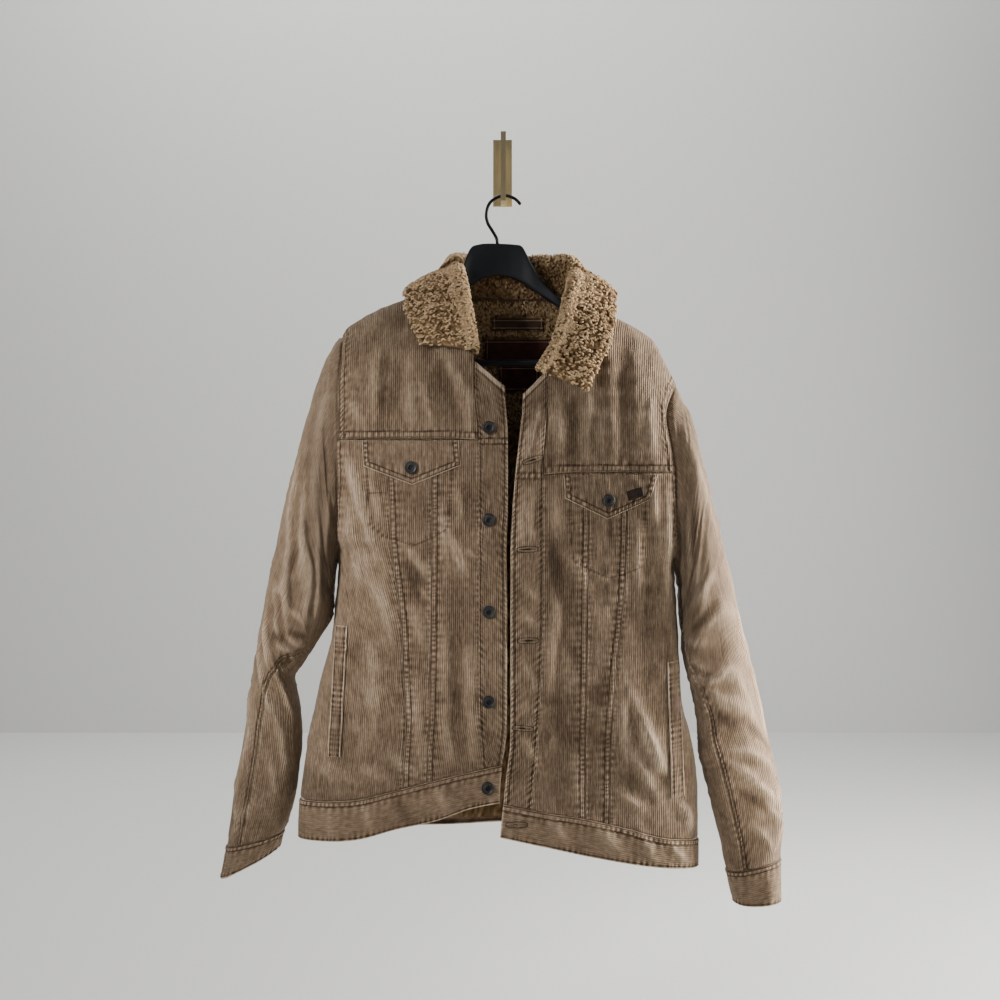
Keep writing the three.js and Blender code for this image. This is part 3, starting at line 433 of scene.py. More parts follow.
class Cloth:
    """A thin closed wall of cloth over a grid of a surface, and where its points are."""

    def __init__(self, name, surface, us, vs, *, high, low=None, turn=1, ring=False, relief=None,
                 grain="down", material=None, slot="corduroy", nodes=(), rests_on=(), sheet=True):
        low = high - THIN if low is None else low
        u, v = np.meshgrid(us, vs)
        base = surface(u, v)
        normal = grid_normals(surface, u, v, turn)
        self.x, self.z = base[..., 0], base[..., 2]
        self.u, self.v = u, v
        self.near = lengths_along(base, 1)
        self.far = self.near[:, -1:] - self.near
        self.top = lengths_along(base, 0)
        self.foot = self.top[-1:] - self.top
        rise, wear_tone_and_highlight, dark = relief(self) if relief else (0 * u, 0 * u, 0 * u)
        rise = np.maximum(rise, low - high + 0.5)
        self.outer = base + normal * (high + rise)[..., None]
        self.normal = unit(np.cross(np.gradient(self.outer, axis=1), np.gradient(self.outer, axis=0)))
        self.normal *= np.sign((self.normal * normal).sum(-1, keepdims=True) + 1e-9)
        inner = base + normal * low
        gx, gy = self.grain_map(base, grain)
        nv, nu = u.shape
        kept = nu - ring
        across, down = coarse(nu, COARSE_ACROSS), coarse(nv, COARSE_DOWN)
        few = np.ix_(down, across[:len(across) - ring])
        faces = self.wall_faces(across, down, ring)
        a, b, d = self.outer[:-1, :-1], self.outer[:-1, 1:], self.outer[1:, :-1]
        if (np.cross(b - a, d - a) * normal[:-1, :-1]).sum() < 0:
            faces = [face[:, ::-1] for face in faces]
        spots = np.concatenate([face[..., 1].ravel() for face in faces])
        uv = np.stack([gx.ravel()[spots], gy.ravel()[spots]], axis=-1)
        both = lambda value: np.concatenate([value[few].ravel(), value[:, :kept].ravel()])
        # Per point: wear, random tone and painted highlight, which lighten the cloth, and dark, which is mostly
        # painted shade with some random tone.
        values = {"wear_tone_and_highlight": both(np.clip(wear_tone_and_highlight, 0, 1)), "dark": both(np.clip(dark, 0, 1))}
        points = np.concatenate([inner[few].reshape(-1, 3), self.outer[:, :kept].reshape(-1, 3)])
        self.piece = mesh_object(name, points, [face[..., 0] for face in faces], uv, values)
        finished(self.piece, material or corduroy, slot, nodes)
        if sheet:
            self.declare(base, rests_on)

    def wall_faces(self, across, down, ring):
        """The faces of the wall; each corner has its vertex and its place in the grid."""
        nv, nu = self.u.shape
        spot = np.arange(nv * nu).reshape(nv, nu)

        def numbered(rows_at, columns_at, first):
            index = first + np.arange(len(rows_at) * (len(columns_at) - ring)).reshape(len(rows_at), -1)
            if ring:
                index = np.hstack([index, index[:, :1]])
            return np.stack([index, spot[np.ix_(rows_at, columns_at)]], -1)

        def quads(grid):
            corners = grid[:-1, :-1], grid[:-1, 1:], grid[1:, 1:], grid[1:, :-1]
            return np.stack([corner.reshape(-1, 2) for corner in corners], 1)

        inside = numbered(down, across, 0)
        outside = numbered(np.arange(nv), np.arange(nu), len(down) * (len(across) - ring))
        faces = [quads(inside)[:, ::-1], quads(outside)]

        def rim(inner_line, line, at, flip):
            """A strip of faces between an inner edge with few points and its outer edge with all."""
            steps = np.diff(at)
            for step in np.unique(steps):
                k = np.nonzero(steps == step)[0]
                back = at[k + 1][:, None] - np.arange(step + 1)
                face = np.concatenate([inner_line[k][:, None], inner_line[k + 1][:, None], line[back]], 1)
                faces.append(face[:, ::-1] if flip else face)

        rim(inside[0], outside[0], across, False)
        rim(inside[-1], outside[-1], across, True)
        if not ring:
            rim(inside[:, 0], outside[:, 0], down, True)
            rim(inside[:, -1], outside[:, -1], down, False)
        return faces

    def grain_map(self, base, grain):
        """Where each point lies on the flat cloth, whose ribs are counted by the first number."""
        if grain == "upright":
            return self.x, -self.z
        if grain == "limb":
            return self.near - self.near[:, [int(0.55 * base.shape[1])]], self.top
        if grain == "across":
            return self.top, self.near
        level = base.copy()
        level[..., 2] = 0
        return base[:, :1, 0] + lengths_along(level, 1), self.top

    def declare(self, base, rests_on):
        """Takes the shape and the names of what the cloth rests on, and does nothing with them."""
        list(rests_on)

    def line(self, edge, distance):
        """The line of points at a distance from an edge of the cloth, with its normals."""
        from_edge, grids = getattr(self, edge), (self.outer, self.normal)
        if edge in ("top", "foot"):
            from_edge, grids = from_edge.T, [grid.swapaxes(0, 1) for grid in grids]
        found = []
        for k, reach in enumerate(from_edge):
            order = np.argsort(reach)
            found.append([read_line(distance, reach[order], grid[k][order]) for grid in grids])
        points, normals = np.array(found).swapaxes(0, 1)
        return points, unit(normals)


# Relief of sewn cloth: how far it stands proud, how worn it is, and the highlight and shade painted on it

def bump(distance, at, width):
    return np.exp(-(((distance - at) / width) ** 2))


class Relief:
    """How proud a cloth stands, how worn it is, and its painted highlights and painted shade, from crumples, seams
    and edges.
    """

    def __init__(self, x, z, amount=1.0):
        crumple = (0.45 - np.abs(noise(x + 40, z * 0.7, 19))) * np.clip(noise(x - 130, z, 65) + 0.45, 0, 1)
        fine = (0.4 - np.abs(noise(x - 70, z * 0.8 + 20, 9))) * np.clip(noise(x, z - 210, 48) + 0.4, 0, 1)
        rough = 0.6 * noise(x, z * 0.6, 27) + 0.3 * noise(x + 90, z, 11) + 0.13 * noise(x, z + 40, 5.5)
        self.rise = amount * (rough + 2.6 * crumple + 1.5 * fine)
        # The crumples' ridges are painted lighter, partly as wear and partly as painted highlight, and their
        # troughs darker as painted shade; the broad noise in each is random tone.
        self.wear_tone_and_highlight = 0.12 * np.clip(noise(x + 300, z, 60), 0, 1) + 0.3 * np.clip(crumple + 0.6 * fine, 0, 1)
        self.dark = 0.1 * np.clip(noise(x, z + 500, 80), 0, 1) + 0.3 * np.clip(-crumple - 0.5 * fine, 0, 1)

    def creases(self, table, x, z, strength=1.0):
        """Sharp folds that only the drawn cloth has, painted lighter on their ridges, partly as wear and partly as
        painted highlight, and darker in their troughs as painted shade.
        """
        rise = fold_rise(table, x, z) * strength * 2.2
        self.rise += rise
        self.wear_tone_and_highlight += 0.13 * np.clip(rise, 0, 3)
        self.dark += 0.13 * np.clip(-rise, 0, 3)

    def folds(self, table, x, z):
        """Painted highlight on the ridges and painted shade in the troughs of the large folds, whose shape is
        already in the surface.
        """
        rise = fold_rise(table, x, z)
        self.wear_tone_and_highlight += 0.02 * np.clip(rise, 0, 6)
        self.dark += 0.025 * np.clip(-rise, 0, 7)

    def edge(self, distance, radius=1.3, worn=0.8):
        """A rounded, worn edge."""
        short = np.clip(1 - distance / radius, 0, 1)
        self.rise -= 0.8 * radius * (1 - np.sqrt(1 - short**2 * 0.98))
        self.wear_tone_and_highlight += worn * np.exp(-((distance / 1.6) ** 2))

    def stitch(self, distance, along, at=2.0, puckers=0.35, tone=1.0):
        """The groove of a single row of stitches, with the cloth puckered beside it; the groove and the pucker
        troughs are painted in shade and the pucker crests painted lighter as highlight.
        """
        wave = np.sin(2 * np.pi * along / 7.6 + 4.5 * noise(along, 0 * along + at, 17))
        wave = wave * (0.6 + 0.6 * noise(along, 0 * along + at + 60, 31))
        near = bump(distance, at, 2.6) + 0.6 * bump(distance, at, 7.5)
        self.rise += -0.45 * bump(distance, at, 0.9) + puckers * wave * near
        self.dark += tone * (0.75 * bump(distance, at, 0.8) + 0.3 * np.clip(-wave, 0, 1) * near)
        self.wear_tone_and_highlight += tone * 0.35 * np.clip(wave, 0, 1) * near

    def ladder(self, distance, along, first=1.4, second=8.4, seed=0.0):
        """A double row of stitches with rungs of pulled cloth between, and short puckers outside; the stitch lines
        and the troughs are painted in shade and the crests painted lighter as highlight.
        """
        middle, half = (first + second) / 2, (second - first) / 2
        between = np.clip(1 - ((distance - middle) / half) ** 2, 0, 1)
        phase = 2 * np.pi * along / 6.3 + 5 * noise(along, 0 * along + seed, 19)
        rung = np.sin(phase) * (0.75 + 0.6 * noise(along, 0 * along + seed + 40, 27))
        outside = np.where(distance > second, np.exp(-(distance - second) / 6.5), 0)
        stitches = bump(distance, first, 0.8) + bump(distance, second, 0.8)
        wander = np.sin(phase * 0.61 + 2 * noise(along + 70, 0 * along + seed, 23))
        self.rise += between * (0.3 + 0.65 * rung) + 0.65 * outside * wander - 0.5 * stitches
        self.wear_tone_and_highlight += between * (0.1 + 0.5 * np.clip(rung, 0, 1)) + 0.3 * outside * np.clip(wander, 0, 1)
        self.dark += 0.75 * stitches + between * 0.45 * np.clip(-rung, 0, 1)
        self.dark += 0.25 * outside * np.clip(-wander, 0, 1)

    def part_ladder(self, share, distance, along, first=1.4, second=8.4, seed=0.0):
        """A ladder that is there in full where share is 1 and not where it is 0."""
        before = self.rise.copy(), self.wear_tone_and_highlight.copy(), self.dark.copy()
        self.ladder(distance, along, first, second, seed)
        self.rise, self.wear_tone_and_highlight, self.dark = (lerp(old, new, share) for old, new in zip(before, self.result()))

    def result(self):
        return self.rise, self.wear_tone_and_highlight, self.dark


def creased(c, creases, folds=None, amount=1.0, strength=1.0):
    """The relief of a cloth of the body, with its folds and creases."""
    r = Relief(c.x, c.z, amount)
    if folds:
        r.folds(folds, c.x, c.z)
    r.creases(creases, c.x, c.z, strength)
    return r


# Thread: short spindles along a line, all of a part's rows in one mesh

class Thread:
    def __init__(self):
        self.places = []

    def row(self, points, normals, pitch=3.5, length=2.5, width=0.62, rise=0.12):
        along = lengths_along(points, 0)
        at = np.arange(pitch / 2, along[-1], pitch)
        if len(at) < 1:
            return
        middle, normal = read_line(at, along, points), unit(read_line(at, along, normals))
        ahead = unit(read_line(at + pitch / 2, along, points) - read_line(at - pitch / 2, along, points))
        self.add(middle + normal * rise, ahead, normal, length, width)

    def sew(self, cloth, lines, span=slice(None), **size):
        """Rows of stitches at distances from edges of a cloth."""
        for edge, distance in lines:
            points, normals = cloth.line(edge, distance)
            self.row(points[span], normals[span], **size)

    def add(self, middle, ahead, normal, length, width):
        side = unit(np.cross(normal, ahead))
        self.places.append((middle, ahead * length / 2, side * width / 2, normal * width * 0.6))

    def build(self, name, material):
        middle, ahead, side, up = (np.concatenate(part) for part in zip(*self.places))
        corners = np.stack([
            middle - ahead - up, middle + ahead - up, middle - side, middle + side,
            middle + up * 0.9, middle - up,
        ], axis=1)
        faces = np.array([
            [0, 2, 4], [0, 4, 3], [0, 3, 5], [0, 5, 2], [1, 4, 2], [1, 3, 4], [1, 5, 3], [1, 2, 5],
        ])
        index = faces[None] + 6 * np.arange(len(middle))[:, None, None]
        piece = mesh_object(name, corners.reshape(-1, 3), [index.reshape(-1, 3)])
        return finished(piece, material, "corduroy")


# Materials

class Shader:
    """A material's node tree, built by short calls."""

    def __init__(self, name, roughness, metallic=0.0):
        self.material = bpy.data.materials.new(name)
        self.material.use_nodes = True
        self.tree = self.material.node_tree
        self.bsdf = self.tree.nodes["Principled BSDF"]
        self.set("Roughness", roughness)
        self.set("Metallic", metallic)

    def set(self, socket, value):
        self.bsdf.inputs[socket].default_value = value

    def node(self, kind, **settings):
        made = self.tree.nodes.new("ShaderNode" + kind)
        for key, value in settings.items():
            setattr(made, key, value)
        return made

    def feed(self, value, socket):
        if isinstance(value, (int, float, tuple)):
            socket.default_value = value
        else:
            self.tree.links.new(value, socket)

    def math(self, operation, a, b=0.0, c=0.0):
        made = self.node("Math", operation=operation)
        for value, socket in zip((a, b, c), made.inputs):
            self.feed(value, socket)
        return made.outputs[0]

    def total(self, *terms):
        """The sum of value * weight terms and plain values."""
        result = 0.0
        for term in terms:
            result = self.math("MULTIPLY_ADD", term[0], term[1], result) if isinstance(term, tuple) \
                else self.math("ADD", term, result)
        return result

    def noise(self, vector, scale, detail=2.0, roughness=0.5, stretch=(1, 1, 1)):
        place = self.node("Mapping")
        self.feed(vector, place.inputs["Vector"])
        place.inputs["Scale"].default_value = stretch
        made = self.node("TexNoise")
        self.feed(place.outputs[0], made.inputs["Vector"])
        made.inputs["Scale"].default_value = scale
        made.inputs["Detail"].default_value = detail
        made.inputs["Roughness"].default_value = roughness
        return made.outputs[0]

    def ramp(self, factor, stops):
        made = self.node("ValToRGB")
        ramp = made.color_ramp
        while len(ramp.elements) < len(stops):
            ramp.elements.new(0.5)
        for element, (at, color) in zip(ramp.elements, stops):
            element.position = at
            element.color = (*color, 1)
        self.feed(factor, made.inputs[0])
        return made.outputs[0]

    def color(self, value):
        self.feed(value, self.bsdf.inputs["Base Color"])

    def bump(self, height, strength, distance):
        made = self.node("Bump")
        made.inputs["Strength"].default_value = strength
        made.inputs["Distance"].default_value = distance
        self.feed(height, made.inputs["Height"])
        self.feed(made.outputs[0], self.bsdf.inputs["Normal"])

    def attribute(self, name):
        return self.node("Attribute", attribute_name=name).outputs["Fac"]

    def objects(self):
        return self.node("TexCoord").outputs["Object"]


RIB = 0.0026            # the width of a rib, in metres
COTTON = [
    (0.0, (0.020, 0.0120, 0.0068)), (0.28, (0.072, 0.0445, 0.0255)), (0.5, (0.165, 0.109, 0.066)),
    (0.72, (0.305, 0.216, 0.140)), (1.0, (0.540, 0.418, 0.300)),
]


def corduroy_material(name, ribs, level=0.5, wear_tone_and_highlight=0.5):
    shader = Shader(name, 0.86)
    uv = shader.node("UVMap", uv_map="Grain").outputs[0]
    split = shader.node("SeparateXYZ")
    shader.feed(uv, split.inputs[0])
    wander = shader.noise(uv, 60, 1, stretch=(1, 0.25, 1))
    x = shader.math("MULTIPLY_ADD", wander, 0.0011, split.outputs[0])
    rib = shader.math("SINE", shader.math("MULTIPLY", x, 2 * np.pi / RIB))
    streaks = shader.noise(uv, 520, 3, 0.6, stretch=(1, 0.07, 1))
    specks = shader.noise(uv, 1500, 2)
    cloud = shader.noise(shader.objects(), 17, 4, 0.6)
    patches = shader.noise(shader.objects(), 62, 3, 0.6)
    nap = shader.noise(uv, 300, 4, 0.62, stretch=(1, 0.4, 1))
    # Ribs, streaks, specks, cloud, patches and nap are the cloth's own tone; the two attributes add wear and
    # painted highlight, and painted shade.
    factor = shader.total(
        (rib, 0.1 * ribs), (streaks, 0.66 * ribs), (specks, 0.24), (cloud, 0.16), (patches, 0.2), (nap, 0.5),
        (shader.attribute("wear_tone_and_highlight"), wear_tone_and_highlight), (shader.attribute("dark"), -0.62),
        level - 0.32 * ribs - 0.55,      # less what the noises add on average
    )
    shader.color(shader.ramp(factor, COTTON))
    height = shader.total((rib, 0.5 * ribs), (streaks, 0.6 * ribs), (nap, 1.1), (specks, 0.3))
    shader.bump(height, 1.0, 0.0009)
    shader.set("Sheen Weight", 0.1)
    shader.set("Sheen Roughness", 0.5)
    shader.set("Sheen Tint", (0.95, 0.82, 0.66, 1))
    shader.set("Specular IOR Level", 0.2)
    return shader.material


corduroy = corduroy_material("corduroy_body", 1.0)
corduroy_band = corduroy_material("corduroy_bands", 0.45, 0.56)
corduroy_sleeve = corduroy_material("corduroy_sleeves", 0.8, 0.53)


def pile_material(name, tufts, tone=1.0):
    shader = Shader(name, 0.95)
    curl = shader.noise(shader.objects(), 900, 3, 0.65)
    soft = shader.noise(shader.objects(), 60, 2)
    factor = shader.total((curl, 0.35), (soft, 0.25), (shader.attribute("wear_tone_and_highlight"), 0.7), -0.25 + tufts)
    shader.color(shader.ramp(factor, [(at, tuple(tone * part for part in color)) for at, color in (
        (0.0, (0.040, 0.021, 0.009)), (0.3, (0.165, 0.098, 0.046)), (0.6, (0.365, 0.232, 0.114)),
        (1.0, (0.660, 0.470, 0.275)),
    )]))
    shader.bump(curl, 0.6, 0.0007)
    shader.set("Sheen Weight", 0.15 * tone)
    shader.set("Sheen Roughness", 0.6)
    shader.set("Sheen Tint", (1.0, 0.86, 0.66, 1))
    shader.set("Specular IOR Level", 0.1)
    return shader.material


def leather_material(name, dark, light):
    shader = Shader(name, 0.58)
    grain = shader.noise(shader.objects(), 700, 4, 0.6)
    worn = shader.noise(shader.objects(), 90, 3)
    shader.color(shader.ramp(shader.total((grain, 0.4), (worn, 0.6)), [(0.3, dark), (0.75, light)]))
    shader.bump(grain, 0.4, 0.0003)
    shader.set("Specular IOR Level", 0.15)
    return shader.material


def hard_material(name, dark, light, roughness, metallic, scale, stretch=(1, 1, 1), bump=0.1):
    shader = Shader(name, roughness, metallic)
    mottle = shader.noise(shader.objects(), scale, 4, 0.6, stretch)
    broad = shader.noise(shader.objects(), 40, 2)
    shader.color(shader.ramp(shader.total((mottle, 0.6), (broad, 0.4)), [(0.3, dark), (0.7, light)]))
    rough = shader.math("MULTIPLY_ADD", mottle, 0.16, roughness - 0.08)
    shader.feed(rough, shader.bsdf.inputs["Roughness"])
    shader.set("Specular IOR Level", 0.3)
    shader.bump(mottle, bump, 0.0002)
    return shader.material


# The collar's base between the curls is painted darker than the curls as painted shade in the gaps between them.
pile = pile_material("sherpa_base", -0.12)
tuft_pile = pile_material("sherpa_tufts", 0.1)
# The lining's tone of 0.8 darkens its pile and its curls as painted shade inside the neck; its base is painted
# darker than its curls as painted shade in the gaps.
inner_pile = pile_material("sherpa_lining", -0.1, 0.8)
inner_tufts = pile_material("sherpa_lining_tufts", 0.05, 0.8)
under_cloth = corduroy_material("under_collar_cloth", 0.6, 0.45)
maroon = leather_material("maroon_leather", (0.030, 0.009, 0.008), (0.085, 0.028, 0.022))
brown_leather = leather_material("brown_leather", (0.030, 0.017, 0.012), (0.085, 0.046, 0.030))
tab_leather = leather_material("tab_leather", (0.014, 0.009, 0.007), (0.040, 0.024, 0.018))
# The top-stitching thread is tan; it is painted dark brown as painted shade in the grooves it lies in.
thread_painted_shade_brown = leather_material("topstitch_thread", (0.055, 0.032, 0.018), (0.150, 0.095, 0.055))
thread_tan = leather_material("tan_thread", (0.46, 0.33, 0.20), (0.72, 0.56, 0.37))
# Painted shadow: the dark ring round each buttonhole and the dark line along its cut.
shadow_line_brown = leather_material("buttonhole_shadow", (0.012, 0.007, 0.004), (0.035, 0.021, 0.012))
bar_thread = leather_material("buttonhole_thread", (0.200, 0.140, 0.088), (0.380, 0.280, 0.190))
gunmetal = hard_material("gunmetal", (0.022, 0.022, 0.022), (0.075, 0.072, 0.066), 0.45, 0.8, 900)
button_hole = hard_material("button_centre", (0.004, 0.004, 0.004), (0.012, 0.012, 0.012), 0.6, 0.3, 900)
plastic = hard_material("black_plastic_grain", (0.0085, 0.0095, 0.0120), (0.0140, 0.0155, 0.0195), 0.5, 0.0,
                        1400, bump=0.25)
wire = hard_material("black_wire_finish", (0.008, 0.008, 0.009), (0.025, 0.025, 0.027), 0.35, 0.6, 600)
brass = hard_material("satin_brass_brushed", (0.74, 0.59, 0.32), (0.91, 0.76, 0.47), 0.4, 1.0, 420,
                      stretch=(1, 1, 0.04), bump=0.15)


# Front and back panels

SIDE_END, HEM_SIDE_END = 0.985, 0.972        # where they end, as a share of the way to the side
LADDER = (1.4, 8.4)                          # the two rows of a double seam
BAND_ROWS = (("top", 1.3), ("top", 7.4), ("foot", 2.6))
thread, light_thread, shadow_lines, bars = (Thread() for _ in range(4))


def panel_surface(half, near, far, top, bottom, crowd=1.0):
    """The front between two lines across and two down; crowd packs its points to the far one."""
    def surface(a, v):
        across = 1 - np.maximum(1 - a, 0) ** crowd
        return front_point(half, *settled(half, near, far, half.z[top], half.z[bottom], across, v))
    return surface


def settled(half, near, far, top, bottom, across, v):
    """Where a panel's lines across and down meet: its sides depend on z and its ends on x."""
    x = lerp(half.x[near](LEVEL), half.x[far](LEVEL), across)
    for _ in range(ROUNDS):
        z = lerp(top(x), bottom(x), v)
        x = lerp(half.x[near](z), half.x[far](z), across)
    return x, z


def to_line(x, z, corners):
    """The distance to a bent line and how far along it the nearest point is."""
    best, along, start = np.full(x.shape, 1e9), np.zeros(x.shape), 0.0
    for (x0, z0), (x1, z1) in zip(corners[:-1], corners[1:]):
        t, far = to_segment(x, z, x0, z0, x1, z1)
        far, length = np.sqrt(far), np.hypot(x1 - x0, z1 - z0)
        best, along = np.where(far < best, far, best), np.where(far < best, start + t * length, along)
        start += length
    return best, along


POCKETS = {
    "left": [
        [(-177.3, -404), (-176, -440), (-170.9, -483.4), (-154, -498.4), (-114.4, -509.4), (-94.3, -501.6),
         (-71.5, -488.6), (-68, -450), (-66, -404)],
        [(-174.8, -441.9), (-152.7, -441.9)],
    ],
    "right": [
        [(86, -448), (88, -490), (92.5, -530.1), (113.3, -541.8), (137.9, -552.2), (160, -547), (178.1, -539.2),
         (183, -500), (187.2, -448)],
        [(87.3, -480.8), (110.7, -480.8)],
    ],
}


def panel_relief(half, near_seam, far_seam, back=False):
    def relief(c):
        r = creased(c, BACK_CREASES, BACK_FOLDS) if back else creased(c, half.creases, half.folds)
        for distance in (c.near, c.far):
            r.edge(distance, 1.1, 0.45)
        r.edge(c.top, 1.1, 0.1)
        r.edge(c.foot, 1.1, 0.1)
        for line in () if back else POCKETS[half.name]:
            r.stitch(*to_line(c.x, c.z, line), at=0.0, puckers=0.35, tone=0.6)
        for seam, distance, seed in ((near_seam, c.near, 3.0), (far_seam, c.far, 8.0)):
            if seam == "ladder":
                r.ladder(distance, c.top, seed=seed + c.x.mean())
            elif seam == "puckers":
                r.stitch(distance, c.top, at=-1.0, puckers=0.6)
            elif seam == "armhole":
                r.part_ladder(np.clip((c.z - half.arm[1]) / 30, 0, 1), distance, c.top, seed=seed)
        return r.result()
    return relief


def band_relief(creases, seed, folds=None, edges=()):
    """A hem band: a double seam at its top and a single one at its foot."""
    def relief(c):
        r = creased(c, creases, folds, 0.9, 0.8)
        r.ladder(c.top, c.near, 1.3, 7.4, seed=seed)
        r.stitch(c.foot, c.near, at=2.6, puckers=0.3)
        for edge, radius, worn in (("foot", 1.6, 0.9), *edges):
            r.edge(getattr(c, edge), radius, worn)
        return r.result()
    return relief


def front_panels(half):
    parts = [
        ("inner_panel", "placket", "inner", 62, 1.0, "puckers", "ladder"),
        ("centre_panel", "inner", "outer", 55, 1.0, "puckers", "ladder"),
        ("side_panel", "outer", "side", 100, 2.2, "puckers", "armhole"),
    ]
    for name, near, far, length, crowd, near_seam, far_seam in parts:
        us, end = packed_ends(length, 2.8, 1.15, 12), 1 - SEAM / 2 / length
        if far == "side":
            us, end = np.append(us[us < SIDE_END], SIDE_END), 1
        us = np.clip(us, SEAM / 2 / length, end)
        vs = spaced(0.0004, 0.9996, 245)
        surface = panel_surface(half, near, far, "yoke", "hemTop", crowd)
        made = Cloth(f"{half.name}_front_{name}_cloth", surface, us, vs, high=0, turn=-half.sign,
                     relief=panel_relief(half, near_seam, far_seam), nodes=[f"{half.name}_front_{name}"],
                     rests_on=[f"{half.name}_front_yoke_cloth"])
        if far_seam == "ladder":
            thread.sew(made, [("far", distance) for distance in LADDER])

    us = np.append(np.arange(0.0006, HEM_SIDE_END, 0.006), HEM_SIDE_END)
    vs = np.clip(packed_ends(50, 2.4, 1.1, 10), BAND_GAP / 50, 1)
    relief = band_relief(half.creases, half.sign * 31, half.folds, (("top", 1.3, 0.5), ("near", 1.6, 0.9)))
    surface = panel_surface(half, "edge", "side", "hemTop", "hemBottom", 1.6)
    band = Cloth(f"{half.name}_front_hem_cloth", surface, us, vs, high=FOLDED, low=FOLDED - 2.6,
                 turn=-half.sign, relief=relief, grain="across", material=corduroy_band,
                 nodes=[f"{half.name}_front_hem_band"], rests_on=[f"{half.name}_front_side_panel_cloth"])
    thread.sew(band, [*BAND_ROWS, ("near", 3.0)])


def placket_surface(half):
    def surface(a, v):
        top = lerp(*half.placket_top, a)
        return front_point(half, *settled(half, "edge", "placket", lambda x: top, half.z["hemTop"], a, v))
    return surface


FACING_SHOWN = 8.5                           # the facing that is folded over the placket's top
CROSS_SEAMS = {"left": -378.5, "right": -423.5}
CROSS_WIDTH = 7.6


def placket(half):
    def relief(c):
        r = creased(c, half.creases, half.folds)
        r.edge(c.near, 1.6, 1.0)
        r.edge(c.far, 1.0, 0.3)
        r.edge(c.top, 1.4, 0.9)
        r.ladder(c.near, c.top, -0.5, 5.6, seed=half.sign * 5)
        r.wear_tone_and_highlight += 0.7 * np.clip((FACING_SHOWN - c.top) / 1.5, 0, 1)
        # A painted shadow line just below the edge of the folded facing.
        r.dark += 0.6 * bump(c.top, FACING_SHOWN + 1, 1.0)
        r.stitch(c.far, c.top, at=2.2, puckers=0.55)
        r.ladder(c.z - CROSS_SEAMS[half.name], c.near, 0.0, CROSS_WIDTH, seed=half.sign * 23)
        return r.result()

    us = np.clip(packed_ends(38, 2.2, 1.1, 9), 0, 1 - SEAM / 2 / 38)
    made = Cloth(f"{half.name}_placket_cloth", placket_surface(half), us, spaced(0, 1 - BAND_GAP / 500, 300),
                 high=PLACKET_RISE, low=PLACKET_RISE - 2.4, turn=-half.sign, relief=relief,
                 nodes=[f"{half.name}_front_placket"], rests_on=[f"{half.name}_front_yoke_cloth"])
    thread.sew(made, [("near", 5.6), ("far", 2.2), ("top", 2.4)])


# Collar

COLLAR = rows("at neckX neckZ rollX rollY rollZ edgeX edgeY edgeZ bulge radius", [
    [0, -38, -262, -37, -120, -256, -111, -119, -249, 2, 2.5],
    [1, -50, -240, -43, -117, -216, -125, -109, -217, 6, 6],
    [2, -60, -212, -49, -110, -188, -132, -91, -192, 10, 8],
    [3, -69, -188, -55, -92, -161, -130, -64, -174, 14, 8],
    [4, -76, -168, -60, -58, -142, -112, -34, -168, 12, 8],
    [5, -56, -172, -56, -29, -127, -72, -11, -184, 5, 7],
    [6, 12, -178, 10, -26, -130, 10, -9, -188, 0, 7],
    [7, 76, -177, 78, -34, -130, 96, -12, -188, 5, 7],
    [8, 101, -179, 93, -58, -150, 148, -42, -182, 18, 8],
    [9, 99, -200, 91, -88, -168, 151, -66, -180, 14, 8],
    [10, 93, -222, 84, -106, -192, 150, -90, -208, 10, 7],
    [11, 84, -248, 78, -114, -222, 145, -107, -236, 8, 6],
    [12, 70, -271, 66, -120, -255, 135, -116, -264, 5, 4],
    [13, 50, -286, 48, -123, -284, 112, -123, -311, 2, 2.5],
])
collar = curves(COLLAR)
LEFT_RIDGE, RIGHT_RIDGE = 4, 8
COLLAR_FOOT = 1.1       # between the neck seam and the collar
JITTER = 97


def neck_point(at):
    """A point of the neck seam, on the fronts or behind them on the back."""
    x = collar["neckX"](at)
    z = np.minimum(collar["neckZ"](at), crown_z(x))
    behind = (at > LEFT_RIDGE) & (at < RIGHT_RIDGE)
    return stacked(x, np.where(behind, body_y(1, x, z), body_y(-1, x, z)), z)


def centripetal(points, t):
    """A centripetal Catmull-Rom curve through points (k, ..., 3), read at t from 0 to 1."""
    first, last = 2 * points[0] - points[1], 2 * points[-1] - points[-2]
    spine = np.stack([first, *points, last])
    place = np.clip(t, 0, 1) * (len(points) - 1)
    segment = np.minimum(np.floor(place).astype(int), len(points) - 2)
    s = (place - segment)[..., None]
    pick = lambda k: np.take_along_axis(spine, (segment + k)[None, ..., None], axis=0)[0]
    p0, p1, p2, p3 = (pick(k) for k in range(4))
    gap = lambda a, b: np.maximum(((b - a) ** 2).sum(-1, keepdims=True) ** 0.25, 1e-4)
    d0, d1, d2 = gap(p0, p1), gap(p1, p2), gap(p2, p3)
    t1 = ((p1 - p0) / d0 - (p2 - p0) / (d0 + d1) + (p2 - p1) / d1) * d1
    t2 = ((p2 - p1) / d1 - (p3 - p1) / (d1 + d2) + (p3 - p2) / d2) * d1
    return p1 + s * (t1 + s * ((3 * (p2 - p1) - 2 * t1 - t2) + s * (2 * (p1 - p2) + t1 + t2)))


